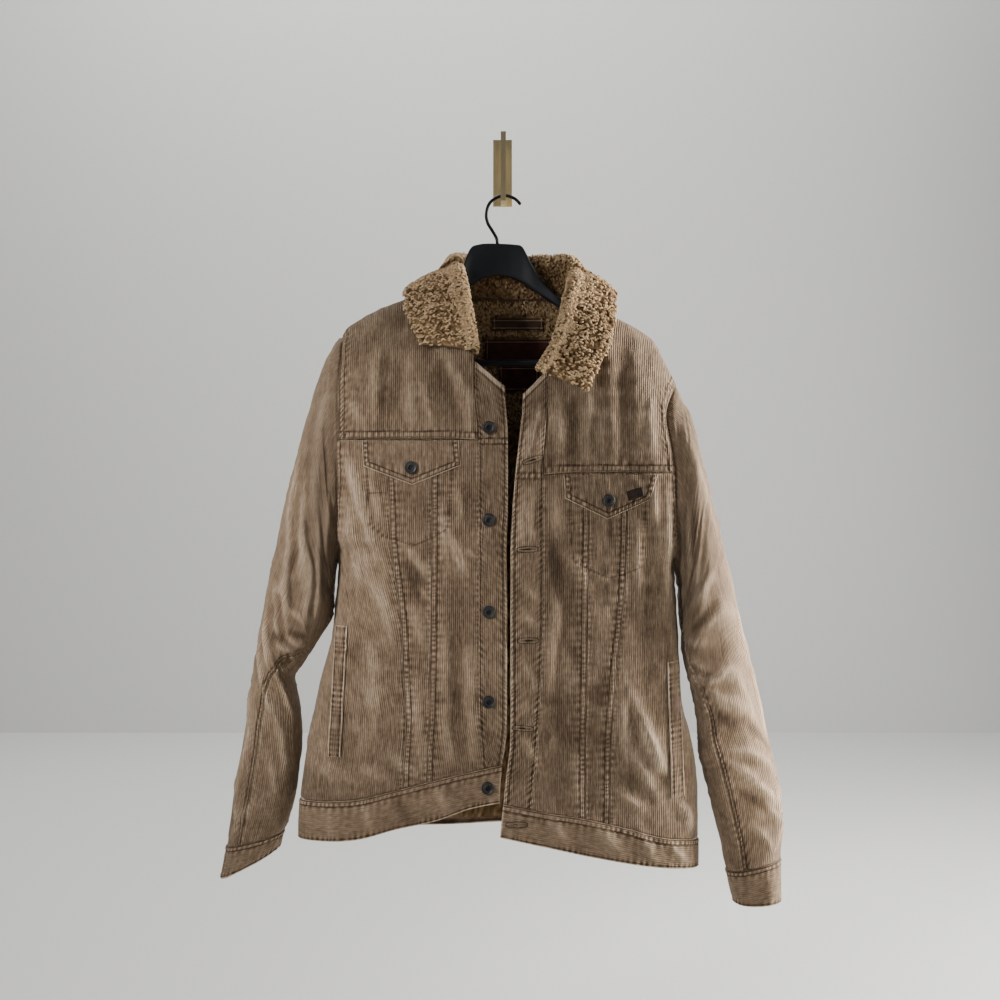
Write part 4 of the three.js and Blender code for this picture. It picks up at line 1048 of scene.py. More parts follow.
def collar_surface(at, t):
    """The collar from the neck seam up the stand, over the roll and down to its edge."""
    neck = neck_point(at)
    roll = stacked(*(collar["roll" + axis](at) for axis in "XYZ"))
    edge = stacked(*(collar["edge" + axis](at) for axis in "XYZ"))
    up = unit(roll - neck)
    radius = collar["radius"](at)[..., None]
    fall = edge - roll
    out = unit(fall - up * (fall * up).sum(-1, keepdims=True))
    start = neck + up * COLLAR_FOOT
    points = np.stack([
        start, lerp(start, roll, 0.5), roll, roll + out * radius + up * radius, roll + out * 2 * radius,
        lerp(roll, edge, 0.6) + up * collar["bulge"](at)[..., None], edge,
    ])
    return centripetal(points, t)


def cells(x, y, size, seed):
    """Distance to the nearest scattered point and a number for it, over a jittered grid."""
    jitter = np.random.default_rng(seed).random((3, JITTER, JITTER))
    gx, gy = x / size, y / size
    ix, iy = np.floor(gx).astype(int), np.floor(gy).astype(int)
    best, number = np.full(x.shape, 9.0), np.zeros(x.shape)
    for i in (-1, 0, 1):
        for j in (-1, 0, 1):
            cx, cy = ix + i, iy + j
            jx, jy, value = (layer[cx % JITTER, cy % JITTER] for layer in jitter)
            far = np.hypot(gx - cx - jx, gy - cy - jy)
            nearer = far < best
            best, number = np.where(nearer, far, best), np.where(nearer, value, number)
    return best, number


def pile_relief(height, size, seed, edges=()):
    def relief(c):
        far, number = cells(c.near, c.top, size, seed)
        small, _ = cells(c.near + 40, c.top, size * 0.55, seed + 1)
        lump = np.sqrt(np.clip(1 - (far / 0.78) ** 2, 0, 1)) * (0.7 + 0.5 * number)
        rise = height * (lump - 0.5) + 0.25 * height * (0.5 - small) + 0.8 * noise(c.near, c.top, 30)
        # Each lump is painted lighter on its top as painted highlight, with a random tone of its own.
        wear_tone_and_highlight = 0.65 * lump + 0.2 * number
        for edge in edges:
            distance = getattr(c, edge)
            rise = rise - 2.2 * np.clip(1 - distance / 4, 0, 1) ** 2
        return rise, wear_tone_and_highlight, 0 * rise
    return relief


TUFT_STEPS = 3


def tufts(name, c, material, sides, spacing, length, height, radius, keep=None, shade=None):
    """Short curled strands that stand on a pile surface."""
    nv, nu = c.u.shape
    count = int(c.near[:, -1].mean() * c.top[-1].mean() / spacing**2)
    j, i = rng.random(count) * (nv - 1), rng.random(count) * (nu - 1)
    j0, i0 = j.astype(int), i.astype(int)
    fj, fi = (j - j0)[:, None], (i - i0)[:, None]
    read = lambda g: lerp(lerp(g[j0, i0], g[j0, i0 + 1], fi), lerp(g[j0 + 1, i0], g[j0 + 1, i0 + 1], fi), fj)
    root, normal, down = read(c.outer), unit(read(c.normal)), unit(read(np.gradient(c.outer, axis=0)))
    if keep is not None:
        chosen = keep(root)
        root, normal, down = root[chosen], normal[chosen], down[chosen]
    n = len(root)
    across = np.cross(normal, down)
    angle = rng.normal(0, 0.55, (n, 1)) + 0.35 * noise(root[:, 0] + 40, root[:, 2], 45)[:, None]
    lie = unit(down * np.cos(angle) + across * np.sin(angle))
    side = np.cross(normal, lie)
    size = 0.7 + 0.6 * rng.random((n, 1))
    # A random tone per curl, less the painted shade that shade gives where a curl lies in shade.
    tint = rng.random(n) * 0.9 - (0.0 if shade is None else shade(root))
    turn = np.where(rng.random((n, 1)) < 0.5, -1, 1) * (0.6 + 0.8 * rng.random((n, 1)))
    s = np.linspace(0, 1, TUFT_STEPS + 1)[:, None]
    path = (
        root[:, None]
        + lie[:, None] * (length * size)[:, None] * (s - 0.5)
        + side[:, None] * (length * 0.14 * size * turn)[:, None] * np.sin(1.3 * np.pi * s)
        + normal[:, None] * (height * size)[:, None] * np.sin(np.pi * (0.1 + 0.8 * s))
    )
    thick = radius * (0.35 + 0.65 * np.sin(np.pi * (0.08 + 0.84 * s)))
    ring = around(unit(np.gradient(path, axis=1)), normal[:, None], sides)
    points = (path[:, :, None] + ring * thick[..., None]).reshape(-1, 3)
    # Each curl is painted lighter along its raised middle as painted highlight and darker towards its ends as
    # painted shade.
    top = np.sin(np.pi * np.linspace(0.1, 0.9, TUFT_STEPS + 1))
    tints = 0.55 * tint[:, None, None] + 0.85 * top[:, None] + np.zeros(sides)
    faces = tube_faces(TUFT_STEPS, sides)
    faces = faces[None] + ((TUFT_STEPS + 1) * sides * np.arange(n))[:, None, None]
    piece = mesh_object(name, points, [faces.reshape(-1, 4)], values={"wear_tone_and_highlight": tints})
    return finished(piece, material, "sherpa_pile")


# Yokes

NECK_SHARE = 0.66       # the part of a yoke's inner edge that is on the neck seam
TURNED_DOWN = [0.9945, 0.9965, 0.998, 0.999, 0.9996, 0.99995]
CROWN_STEPS = 0.036 * np.linspace(0, 1, 12) ** 2
YOKE_GAP = 0.8
NECK_ENDS = {"left": (LEFT_RIDGE, 0.1), "right": (RIGHT_RIDGE, 12.5)}


def yoke_surface(half):
    start, end = NECK_ENDS[half.name]

    def arm_z(v):
        return lerp(half.arm[0], half.z["yoke"](half.x["side"](-380)), np.clip(v, 0, 2) ** 1.4)

    def line(a, v):
        at = lerp(start, end, np.clip(v, 0, NECK_SHARE) / NECK_SHARE)
        share = (v - NECK_SHARE) / (1 - NECK_SHARE)
        lower = lerp(collar["neckZ"](end), half.z["yoke"](half.x["placket"](-390)), share)
        on_neck = v < NECK_SHARE
        x = np.where(on_neck, collar["neckX"](at), half.x["placket"](lower))
        z = np.where(on_neck, collar["neckZ"](at), lower)
        return lerp(x, half.x["side"](arm_z(v)), a), lerp(z, arm_z(v), a)

    def surface(a, v):
        x, z = line(a, v)
        top_x, top_z = line(a, 0 * v)
        foot_x, foot_z = line(a, 0 * v + 1)
        at_crown = (crown_z(top_x) - top_z) * (1 - v) ** 4
        at_seam = (half.z["yoke"](foot_x) + YOKE_GAP - foot_z) * v**4
        return front_point(half, x, np.minimum(z + at_crown + at_seam, crown_z(x) - 0.002))
    return surface


def front_yoke(half):
    def relief(c):
        r = creased(c, half.creases, half.folds)
        r.edge(c.foot, 1.3, 0.8)
        r.ladder(c.foot, c.near, 1.2, 9.2, seed=half.sign * 9)
        r.ladder(c.far, c.top, 6.2, 13.4, seed=half.sign * 13)
        fade = np.clip(c.near / 6, 0, 1) * np.clip(c.top / 6, 0, 1) * np.clip(c.far / 5, 0.15, 1)
        return r.rise * fade, r.wear_tone_and_highlight, r.dark

    us = packed_ends(150, 2.4, 1.2, 12)
    us = np.append(lerp(0.006, 0.992, us), TURNED_DOWN)
    vs = np.concatenate([CROWN_STEPS, np.linspace(0.04, 0.9, 80), np.linspace(0.9, 1 - 0.0008, 16)[1:]])
    made = Cloth(f"{half.name}_front_yoke_cloth", yoke_surface(half), us, vs, high=0, turn=-half.sign,
                 relief=relief, grain="upright", nodes=[f"{half.name}_front_yoke"],
                 rests_on=["hanger_moulding"])
    thread.sew(made, [("foot", 1.2), ("foot", 9.2), ("far", 6.2), ("far", 13.4)])


# Back

BACK_THREAD = {"pitch": 4.2, "length": 3.0}
BACK = curves(rows("x yoke hemTop hemBottom", [
    [-272, -352, -845, -898], [-76, -352, -844, -896], [12, -354, -840, -892],
    [101, -360, -852, -905], [262, -370, -892, -942],
]), "x")
BACK_SEAM = curves(rows("z left right", [[-352, -112, 132], [-600, -98, 118], [-940, -88, 108]]), "z")
NECK_BACK = {key: COLLAR[key][LEFT_RIDGE:RIGHT_RIDGE + 1] for key in ("neckX", "neckZ")}
back_neck_z = curve(NECK_BACK, "neckX", "neckZ")


def back_top(x):
    inside = (x > NECK_BACK["neckX"][0]) & (x < NECK_BACK["neckX"][-1])
    return np.where(inside, back_neck_z(x), crown_z(x) - 0.002)


def back_surface(left_x, right_x, top, bottom, crowd):
    def surface(a, v):
        z = np.full(np.shape(a), LEVEL)
        for _ in range(ROUNDS):
            x = lerp(left_x(z), right_x(z), crowd(np.clip(a, 0, 1)))
            z = lerp(top(x), bottom(x), v)
        return back_point(x, z)
    return surface


def evenly(a):
    return a


def crowd_both(a):
    return np.where(a < 0.5, 0.5 * (2 * a) ** 1.6, 1 - 0.5 * (2 - 2 * a) ** 1.6)


def back():
    side = {"left": LEFT.x["side"], "right": RIGHT.x["side"]}

    def yoke_relief(c):
        r = creased(c, BACK_CREASES, BACK_FOLDS)
        r.ladder(c.foot, c.near, 1.4, 9.0, seed=41)
        r.ladder(c.near, c.top, 6.2, 13.4, seed=43)
        r.ladder(c.far, c.top, 6.2, 13.4, seed=47)
        fade = np.clip(c.top / 6, 0, 1) * np.clip(np.minimum(c.near, c.far) / 5, 0.15, 1)
        return r.rise * fade, r.wear_tone_and_highlight, r.dark

    vs = np.concatenate([CROWN_STEPS, np.linspace(0.045, 0.998, 76)])
    us = np.concatenate([1 - np.array(TURNED_DOWN[::-1]), spaced(0.006, 0.994, 170), TURNED_DOWN[1:]])
    made = Cloth("back_yoke_cloth", back_surface(side["left"], side["right"], back_top, BACK["yoke"], evenly),
                 us, vs, high=0, relief=yoke_relief, grain="upright", nodes=["back_yoke"],
                 rests_on=["hanger_moulding"])
    thread.sew(made, [("foot", 1.4), ("foot", 9.0)], **BACK_THREAD)
    panels = [
        ("left_back_side_panel", LEFT, side["left"], BACK_SEAM["left"], 150, lambda a: a**2.2,
         ("armhole", "ladder")),
        ("back_centre_panel", LEFT, BACK_SEAM["left"], BACK_SEAM["right"], 200, evenly,
         ("puckers", "puckers")),
        ("right_back_side_panel", RIGHT, BACK_SEAM["right"], side["right"], 150, lambda a: 1 - (1 - a) ** 2.2,
         ("ladder", "armhole")),
    ]
    for name, half, left_x, right_x, width, crowd, seams in panels:
        low = 1 - SIDE_END if seams[0] == "armhole" else 0.001
        high = SIDE_END if seams[1] == "armhole" else 0.999
        us = lerp(low, high, packed_ends(width, 4.5, 1.3, 11))
        made = Cloth(name + "_cloth", back_surface(left_x, right_x, BACK["yoke"], BACK["hemTop"], crowd),
                     us, spaced(0.0006, 0.9994, 190), high=0, nodes=[name], rests_on=["back_yoke_cloth"],
                     relief=panel_relief(half, *seams, back=True))
        thread.sew(made, [(edge, distance) for edge, seam in zip(("near", "far"), seams) if seam == "ladder"
                          for distance in LADDER], **BACK_THREAD)

    surface = back_surface(side["left"], side["right"], BACK["hemTop"], BACK["hemBottom"], crowd_both)
    vs = np.clip(packed_ends(50, 3, 1.3, 10), BAND_GAP / 50, 1)
    band = Cloth("back_hem_cloth", surface, spaced(1 - HEM_SIDE_END, HEM_SIDE_END, 190), vs, high=FOLDED,
                 low=FOLDED - 2.6, relief=band_relief(BACK_CREASES, 53), grain="across",
                 material=corduroy_band, nodes=["back_hem_band"], rests_on=["back_centre_panel_cloth"])
    thread.sew(band, BAND_ROWS, **BACK_THREAD)


# Sleeves

SLEEVE_NAMES = "at outX outZ inX inZ depth frontSeam backSeam"
SLEEVES = {
    "left": rows(SLEEVE_NAMES, [
        [0, -214, -230, -218, -517, 40, 168, 205], [1, -232, -245, -222, -530, 45, 168, 205],
        [2, -244, -275, -225, -548, 48, 168, 205], [3, -256, -323, -226, -568, 50, 168, 205],
        [4, -273, -384, -227, -590, 51, 168, 205], [5, -287, -438, -230, -612, 51, 168, 205],
        [6, -301, -507, -251, -646, 49, 160, 205], [7, -311, -551, -267, -670, 47, 135, 206],
        [8, -321, -608, -279, -692, 45, 108, 208], [9, -331, -668, -273, -722, 43, 84, 210],
        [10, -340, -730, -269, -760, 40, 76, 212], [11, -350, -790, -273, -815, 38, 74, 214],
        [12, -360, -852, -280, -860, 36, 73, 215], [13, -368, -911, -292, -892, 35, 72, 216],
    ]),
    "right": rows(SLEEVE_NAMES, [
        [0, 233, -298, 229, -532, 40, 168, 205], [1, 242, -308, 234, -546, 43, 168, 205],
        [2, 250, -328, 236, -563, 46, 168, 205], [3, 258, -360, 237, -585, 48, 168, 205],
        [4, 269, -410, 238, -612, 49, 166, 205], [5, 284, -468, 240, -640, 49, 160, 205],
        [6, 298, -530, 243, -672, 47, 150, 205], [7, 314, -604, 253, -706, 45, 140, 206],
        [8, 327, -655, 259, -738, 43, 130, 208], [9, 345, -736, 262, -785, 41, 122, 210],
        [10, 360, -790, 269, -815, 39, 120, 212], [11, 370, -836, 279, -858, 37, 119, 214],
        [12, 374, -880, 291, -905, 36, 118, 215], [13, 371, -926, 299, -944, 35, 117, 216],
    ]),
}
CUFF_NAMES = "at outX outZ inX inZ depth"
CUFFS = {
    "left": rows(CUFF_NAMES, [[0, -368, -911, -292, -892, 35.5], [1, -376, -955, -299, -916, 36]]),
    "right": rows(CUFF_NAMES, [[0, 371, -926, 299, -944, 35.5], [1, 370, -984, 309, -988, 36]]),
}
# Folds and creases of the sleeves are given by ring of the table above and by degrees round it.
SLEEVE_FOLDS = {
    "left": [
        [4.6, 80, 6.2, 110, 12, 4], [5.4, 60, 6.6, 85, 12, 4], [6.4, 100, 7.6, 60, 12, -2],
        [7.8, 60, 8.6, 110, 12, 4], [9.2, 30, 10.5, 80, 12, 3], [5, 250, 7, 290, 14, 4],
        [7.5, 300, 9, 240, 14, -2],
    ],
    "right": [
        [5, 120, 6.4, 40, 12, 4], [6, 150, 7.4, 70, 12, -3], [7.6, 140, 8.6, 60, 12, 4],
        [8.8, 110, 9.8, 30, 14, 4], [5, 250, 7, 290, 14, 4], [7.5, 300, 9, 240, 14, -4],
    ],
}
SLEEVE_CREASES = {
    "left": [
        [3.8, 70, 5.4, 92, 6, 2.4], [4.6, 96, 5.9, 118, 6, 2.2], [5.2, 60, 6.4, 92, 5, 2.4],
        [4.4, 112, 5.6, 132, 6, 2.0], [5.8, 70, 6.9, 100, 5, 2.2], [6.6, 60, 7.6, 96, 6, 2.0],
        [6.8, 110, 7.8, 84, 5, -2.0], [7.4, 50, 8.6, 84, 6, 2.2], [8.2, 30, 9.2, 70, 6, 1.8],
        [9.4, 20, 10.6, 50, 7, 1.6], [10.4, 50, 11.6, 30, 7, 1.6], [11.4, 20, 12.6, 60, 7, 1.6],
        [2.4, 80, 3.8, 84, 8, 1.4], [8.6, 110, 9.6, 140, 6, 2.0], [9.8, 100, 11, 130, 7, 1.6],
        [5.6, 128, 6.3, 92, 4, 2.2], [6.0, 136, 6.8, 104, 4, -1.8], [6.3, 140, 7.2, 98, 4, 2.2],
        [7.0, 128, 7.7, 90, 4, 1.8], [7.3, 134, 8.2, 100, 5, -1.6], [5.0, 84, 6.0, 74, 4, -1.8],
        [6.1, 78, 7.2, 60, 4, 1.8], [3.2, 100, 4.6, 116, 7, 1.6], [1.6, 110, 3.0, 120, 8, 1.4],
        [1.2, 60, 3.0, 66, 8, 1.4], [8.8, 60, 9.8, 96, 5, 1.6], [10.6, 90, 11.6, 116, 5, 1.4],
        [11.8, 84, 12.8, 40, 6, 1.6], [4.0, 40, 5.4, 52, 7, 1.6],
        [1.6, -110, 3.2, -90, 9, 1.8], [4.6, -130, 5.8, -80, 7, 2.2], [5.4, -120, 6.6, -60, 6, -1.8],
        [6.0, -136, 7.0, -84, 6, 2.2], [6.8, -120, 7.8, -50, 6, 2.0], [7.6, -100, 8.8, -40, 7, -1.6],
        [8.8, -120, 10.2, -70, 8, 1.8], [10.4, -60, 11.8, -100, 8, 1.6], [3.0, -60, 4.6, -40, 9, 1.6],
    ],
    "right": [
        [4.6, 120, 5.6, 70, 6, 2.2], [5.2, 130, 6.2, 80, 5, -1.8], [5.8, 110, 6.8, 40, 6, 2.2],
        [6.6, 150, 7.6, 90, 6, 2.2], [7.0, 120, 8.2, 60, 6, 2.4], [8.0, 110, 9.0, 50, 7, 2.0],
        [8.6, 80, 9.8, 30, 6, -1.8], [9.2, 100, 10.4, 30, 7, 2.0], [10.2, 90, 11.4, 40, 7, 1.8],
        [11.2, 70, 12.4, 20, 7, 1.6], [3.0, 60, 5.0, 40, 9, 1.4], [7.6, 30, 9.6, 16, 8, 1.6],
        [10.6, 30, 12.6, 50, 8, 1.4], [6.2, 20, 8.0, 34, 8, 1.4],
        [5.4, 140, 6.3, 106, 4, 2.0], [6.1, 142, 7.0, 112, 4, 2.0], [6.6, 130, 7.4, 100, 4, -1.8],
        [7.4, 122, 8.2, 96, 4, 1.8], [8.2, 112, 8.9, 84, 5, -1.6], [7.8, 84, 8.8, 52, 5, 1.8],
        [9.6, 108, 10.4, 76, 5, 1.8], [10.6, 100, 11.5, 64, 5, -1.5], [4.2, 104, 5.4, 88, 6, 1.6],
        [1.4, 60, 3.4, 56, 9, 1.4], [2.0, 100, 3.6, 112, 8, 1.4], [11.6, 96, 12.6, 60, 5, 1.5],
        [1.2, -100, 3.0, -110, 9, 1.8], [5.0, -136, 6.2, -90, 7, 2.2], [5.8, -120, 7.0, -70, 6, -1.8],
        [6.6, -130, 7.6, -80, 6, 2.2], [7.4, -110, 8.6, -50, 6, 2.0], [8.4, -120, 9.6, -80, 7, -1.6],
        [9.6, -90, 11.0, -50, 8, 1.8], [11.0, -110, 12.2, -80, 8, 1.6], [3.2, -40, 4.8, -60, 9, 1.6],
    ],
}
RING_LENGTH, DEGREE_LENGTH = 55.0, 0.9
SLEEVE_SQUARE = 2.4
ARM_GAP = -2.6
SEAM_DEGREES = 0.4
ELBOW_ROW = 100         # from this row of its grid on, a sleeve's seam shows its stitches


def sleeve_table(values):
    """A table of folds with its rings and degrees turned into lengths."""
    table = rows(FOLD_COLUMNS, values)
    scale = {"x0": RING_LENGTH, "z0": DEGREE_LENGTH, "x1": RING_LENGTH, "z1": DEGREE_LENGTH}
    return {name: column * scale.get(name, 1) for name, column in table.items()}


def ring_point(ring, at, degrees, rise=0.0):
    """A point of a sleeve: which ring it is on, and how far round it."""
    angle = np.radians(degrees)
    across = np.sign(np.cos(angle)) * np.abs(np.cos(angle)) ** (2 / SLEEVE_SQUARE)
    forward = np.sign(np.sin(angle)) * np.abs(np.sin(angle)) ** (2 / SLEEVE_SQUARE)
    out = stacked(ring["outX"](at), MID_Y + 0 * degrees, ring["outZ"](at))
    inner = stacked(ring["inX"](at), MID_Y + 0 * degrees, ring["inZ"](at))
    middle = (out + inner) / 2
    half = out - middle
    swell = 1 + rise / np.linalg.norm(half, axis=-1)
    point = middle + half * (across * swell)[..., None]
    point[..., 1] -= forward * (ring["depth"](at) + rise)
    return point


def sleeve(half):
    ring = curves(SLEEVES[half.name])
    folds = sleeve_table(SLEEVE_FOLDS[half.name])
    creases = sleeve_table(SLEEVE_CREASES[half.name])

    def body(degrees, at):
        rise = fold_rise(folds, at * RING_LENGTH, degrees * DEGREE_LENGTH)
        rise = rise + 3.5 * bump(at, 0.8, 0.7) * bump(degrees, 10, 60)
        point = ring_point(ring, at, degrees, rise)
        fade = np.clip(1 - at / 3, 0, 1) ** 2
        top = ring["outZ"](at)
        down = np.clip((top - point[..., 2]) / (top - ring["inZ"](at)), 0, 1)
        chord = lerp(ring["outX"](at), ring["inX"](at), down)
        point[..., 0] += fade * (half.x["side"](point[..., 2]) + half.sign * ARM_GAP - chord)
        return point

    def strip(part, us):
        """The part of the sleeve between its two seams, on top or under the arm."""
        def degrees(u, at):
            before, behind = ring["frontSeam"](at), ring["backSeam"](at)
            if part == "top":
                return lerp(behind - 360 + SEAM_DEGREES, before - SEAM_DEGREES, u)
            return lerp(before + SEAM_DEGREES, behind - SEAM_DEGREES, u)

        def relief(c):
            x, z = c.v * RING_LENGTH, degrees(c.u, c.v) * DEGREE_LENGTH
            r = Relief(x + 900 * half.sign, z, 1.2)
            r.folds(folds, x, z)
            r.creases(creases, x, z, 1.15)
            if part == "top":
                r.part_ladder(np.clip((c.v - 6) / 2, 0, 1), c.far, c.top, 1.5, 5.5, seed=61 * half.sign)
            else:
                r.stitch(c.near, c.top, at=-1.0, puckers=0.6)
            r.edge(c.near, 1.1, 0.4)
            r.edge(c.far, 1.1, 0.4)
            r.edge(c.foot, 1.1, 0.3)
            fade = np.clip(c.top / 10, 0.1, 1)
            return r.rise * fade - 1.6 * np.clip(1 - c.top / 5, 0, 1), r.wear_tone_and_highlight, r.dark

        return Cloth(f"{half.name}_sleeve_{part}_cloth", lambda u, at: body(degrees(u, at), at), us,
                     spaced(0, 13 - 0.012, 250), high=0, turn=half.sign, relief=relief, grain="limb",
                     material=corduroy_sleeve, nodes=[f"{half.name}_sleeve_{part}"],
                     rests_on=[f"{half.name}_front_yoke_cloth"])

    thread.sew(strip("top", packed_ends(280, 4.2, 1.4, 10)), [("far", 1.5)], slice(ELBOW_ROW, None))
    strip("under", packed_ends(110, 4.2, 1.8, 8))
    cuff_ring = curves(CUFFS[half.name])

    def cuff_relief(c):
        r = Relief(c.near + 400 * half.sign, c.top, 1.3)
        r.ladder(c.top, c.near, 1.2, 6.5, seed=71 * half.sign)
        r.edge(c.foot, 1.8, 1.0)
        r.stitch(c.foot, c.near, at=3.0, puckers=0.35)
        return r.result()

    cuff = Cloth(f"{half.name}_cuff_cloth", lambda degrees, at: ring_point(cuff_ring, at, degrees),
                 spaced(0, 360, 130), np.clip(packed_ends(48, 2.6, 1.2, 10), 0.002, 1), high=0.5, low=-2.2,
                 turn=half.sign, ring=True, relief=cuff_relief, grain="across", material=corduroy_band,
                 nodes=[f"{half.name}_cuff"], rests_on=[f"{half.name}_sleeve_top_cloth"])
    thread.sew(cuff, [("top", 1.2), ("top", 6.5), ("foot", 3.0)])


# What lies on the fronts

def patch(name, half, row_at, us, vs, lift, relief, thick=TRIM, **given):
    """A piece on a front, from its first row of points to its last."""
    def surface(a, v):
        x0, z0, x1, z1, dip = row_at(v)
        return front_point(half, lerp(x0, x1, a), lerp(z0, z1, a) - dip * (1 - np.abs(2 * a - 1)))
    return Cloth(name, surface, us, vs, low=lift, high=lift + thick, turn=-1, relief=relief,
                 rests_on=[f"{half.name}_front_centre_panel_cloth"], **given)


def between(top, foot):
    return lambda v: [lerp(a, b, v) for a, b in zip(top, foot)]


FLAPS = {
    "left": ([-183, -374, -57, -374, 0], [-181, -407, -54, -406, 25]),
    "right": ([79, -419, 202, -418, 0], [81, -449, 191, -451, 26]),
}
WELTS = {
    "left": ([-218, -616, -202, -616, 0], [-228, -786, -211, -786, 0]),
    "right": ([215, -664, 231, -662, 0], [219, -840, 237, -838, 0]),
}
FOOT_SHARE = 0.93       # the pointed foot of a flap counts as this much nearer


def flap(half):
    def relief(c):
        r = creased(c, half.creases, strength=0.7)
        foot = c.foot * FOOT_SHARE
        nearest = np.minimum(np.minimum(c.near, c.far), foot)
        along = np.where(nearest == foot, c.near, c.top)
        r.edge(nearest, 1.5, 1.0)
        r.ladder(nearest, along, 1.8, 7.6, seed=half.sign * 17)
        r.rise += 0.8 * bump(c.x, c.x.mean(), 8) * bump(c.z, c.z.mean() + 4, 9)
        return r.result()

    row_at = between(*FLAPS[half.name])
    made = patch(f"{half.name}_flap_cloth", half, row_at, packed_ends(126, 2.0, 1.0, 11),
                 packed_ends(46, 1.8, 0.9, 10), SEAT, relief, nodes=[f"{half.name}_pocket_flap"])
    for distance in (1.8, 7.6):
        shown = slice(0, int(len(made.u) * (1 - distance / 50)))
        thread.sew(made, [("near", distance), ("far", distance)], shown)
        thread.sew(made, [("foot", distance / FOOT_SHARE)], slice(int(distance), -int(distance)))


def welt(half):
    def relief(c):
        r = Relief(c.x, c.z, 0.8)
        r.edge(np.minimum(c.near, c.far), 1.4, 1.3)
        r.edge(np.minimum(c.top, c.foot), 1.3, 0.7)
        r.stitch(c.near, c.top, at=3.2, puckers=0.4)
        r.stitch(c.far, c.top, at=3.2, puckers=0.4)
        return r.result()

    made = patch(f"{half.name}_welt_cloth", half, between(*WELTS[half.name]), packed_ends(16, 1.2, 0.7, 4),
                 spaced(0, 1, 120), 2 * SEAT, relief, nodes=[f"{half.name}_welt"])
    thread.sew(made, [("near", 3.2), ("far", 3.2)])


def leather_relief(c):
    r = Relief(c.x, c.z, 0.5)
    nearest = np.minimum(np.minimum(c.near, c.far), np.minimum(c.top, c.foot))
    short = np.clip(1 - nearest / 1.0, 0, 1)
    return r.rise - 0.5 * short**2 - 0.3 * bump(nearest, 2.6, 0.6), 0 * c.u, 0 * c.u


# Lining and what is sewn on it

LINING_TABLE = curves(rows("x top foot", [
    [-150, -262, -886], [-110, -222, -886], [-70, -184, -885], [-40, -179, -884], [12, -180, -882],
    [60, -180, -886], [92, -188, -888], [130, -236, -894], [172, -282, -902],
]), "x")

INSIDE_PATCHES = [
    ("hanger_loop_strip", "hanger_loop", brown_leather, -14, 56, -203, -219),
    ("neck_label_patch", "neck_patch", maroon, -24, 74, -232, -264),
    ("lower_label_patch", "lower_patch", maroon, -5, 50, -268, -302),
]


def lining():
    def surface(x, v):
        return back_point(x, lerp(LINING_TABLE["top"](x), LINING_TABLE["foot"](x), v), False)

    vs = np.concatenate([np.linspace(0, 0.02, 6), np.linspace(0.025, 0.3, 90), np.linspace(0.31, 1, 70)])
    made = Cloth("back_lining_pile", surface, spaced(-150, 172, 130), vs, low=INSIDE, high=INSIDE + LINING,
                 turn=-1, relief=pile_relief(1.5, 4.2, 3), material=inner_pile, slot="sherpa_pile",
                 nodes=["back_lining"], rests_on=["back_yoke_cloth"])

    def shown(root):
        """Where the lining shows in the neck, beside its patches."""
        x, z = root[:, 0], root[:, 2]
        free = (z > -345) & (np.abs(x - 20) < 95)
        for _, _, _, x0, x1, top, foot in INSIDE_PATCHES:
            free &= ~((np.abs(x - (x0 + x1) / 2) < (x1 - x0) / 2 + 4)
                      & (np.abs(z - (top + foot) / 2) < (top - foot) / 2 + 4))
        return free

    tufts("back_lining_tufts", made, inner_tufts, 3, 3.3, 4.6, 1.6, 1.25, keep=shown)


def inside_patch(name, node, material, x0, x1, top, foot):
    depth = INSIDE + LINING + 0.8
    made = Cloth(name, lambda a, v: back_point(lerp(x0, x1, a), lerp(top, foot, v), False), spaced(0, 1, 50),
                 spaced(0, 1, 24), low=depth, high=depth + TRIM, turn=-1, relief=leather_relief,
                 material=material, slot="leather_trim", nodes=[node], rests_on=["back_lining_pile"])
    for edges in (("near", "far"), ("top", "foot")):
        light_thread.sew(made, [(edge, 3.0) for edge in edges], pitch=2.6, length=2.5, width=2.0)


# Buttons and hard parts

def turned(name, profile, sides, centre, axis, materials, node):
    """A turned form: rows of radius, height and material number round an axis."""
    radius, height, kind = (np.array(part) for part in zip(*profile))
    axis = unit(np.asarray(axis, float))
    ring = around(axis, [0.0, 0.0, 1.0], sides)
    points = (ring[None] * radius[:, None, None] + axis * height[:, None, None]).reshape(-1, 3) + centre
    piece = mesh_object(name, points, [tube_faces(len(radius) - 1, sides)])
    for material in materials:
        piece.data.materials.append(material)
    numbers = np.repeat(kind[:-1].astype(np.int32), sides)
    piece.data.polygons.foreach_set("material_index", numbers)
    return finished(piece, None, "gunmetal_button", [node])
BUTTON_PROFILE = [
    (0.3, 0.0, 0), (7.6, 0.0, 0), (8.2, 0.5, 0), (8.5, 1.2, 0), (8.45, 1.9, 0), (8.1, 2.7, 0), (7.5, 3.15, 0),
    (6.8, 3.3, 0), (6.2, 3.2, 0), (5.7, 2.75, 0), (5.3, 2.45, 0), (4.2, 2.4, 0), (3.9, 2.75, 0), (3.5, 2.85, 0),
    (3.1, 2.6, 1), (2.8, 1.9, 1), (2.0, 1.7, 1), (0.02, 1.7, 1),
]


def button(name, x, z, lift):
    half = LEFT if x < 0 else RIGHT
    spot = lambda u, v: front_point(half, u, v)
    x, z = np.array([float(x)]), np.array([float(z)])
    normal = grid_normals(spot, x, z, 1, 6.0)[0]
    if normal[1] > 0:
        normal = -normal
    turned(name + "_turned", BUTTON_PROFILE, 40, spot(x, z)[0] + normal * lift, normal,
           [gunmetal, button_hole], name)


def moulded(name, rings, material, node, slot):
    """A hard form from rings of points, its faces turned outwards."""
    points, faces = rings.reshape(-1, 3), tube_faces(len(rings) - 1, rings.shape[1])
    if signed_volume(points, faces) < 0:
        faces = faces[:, ::-1]
    return finished(mesh_object(name, points, [faces]), material, slot, [node])


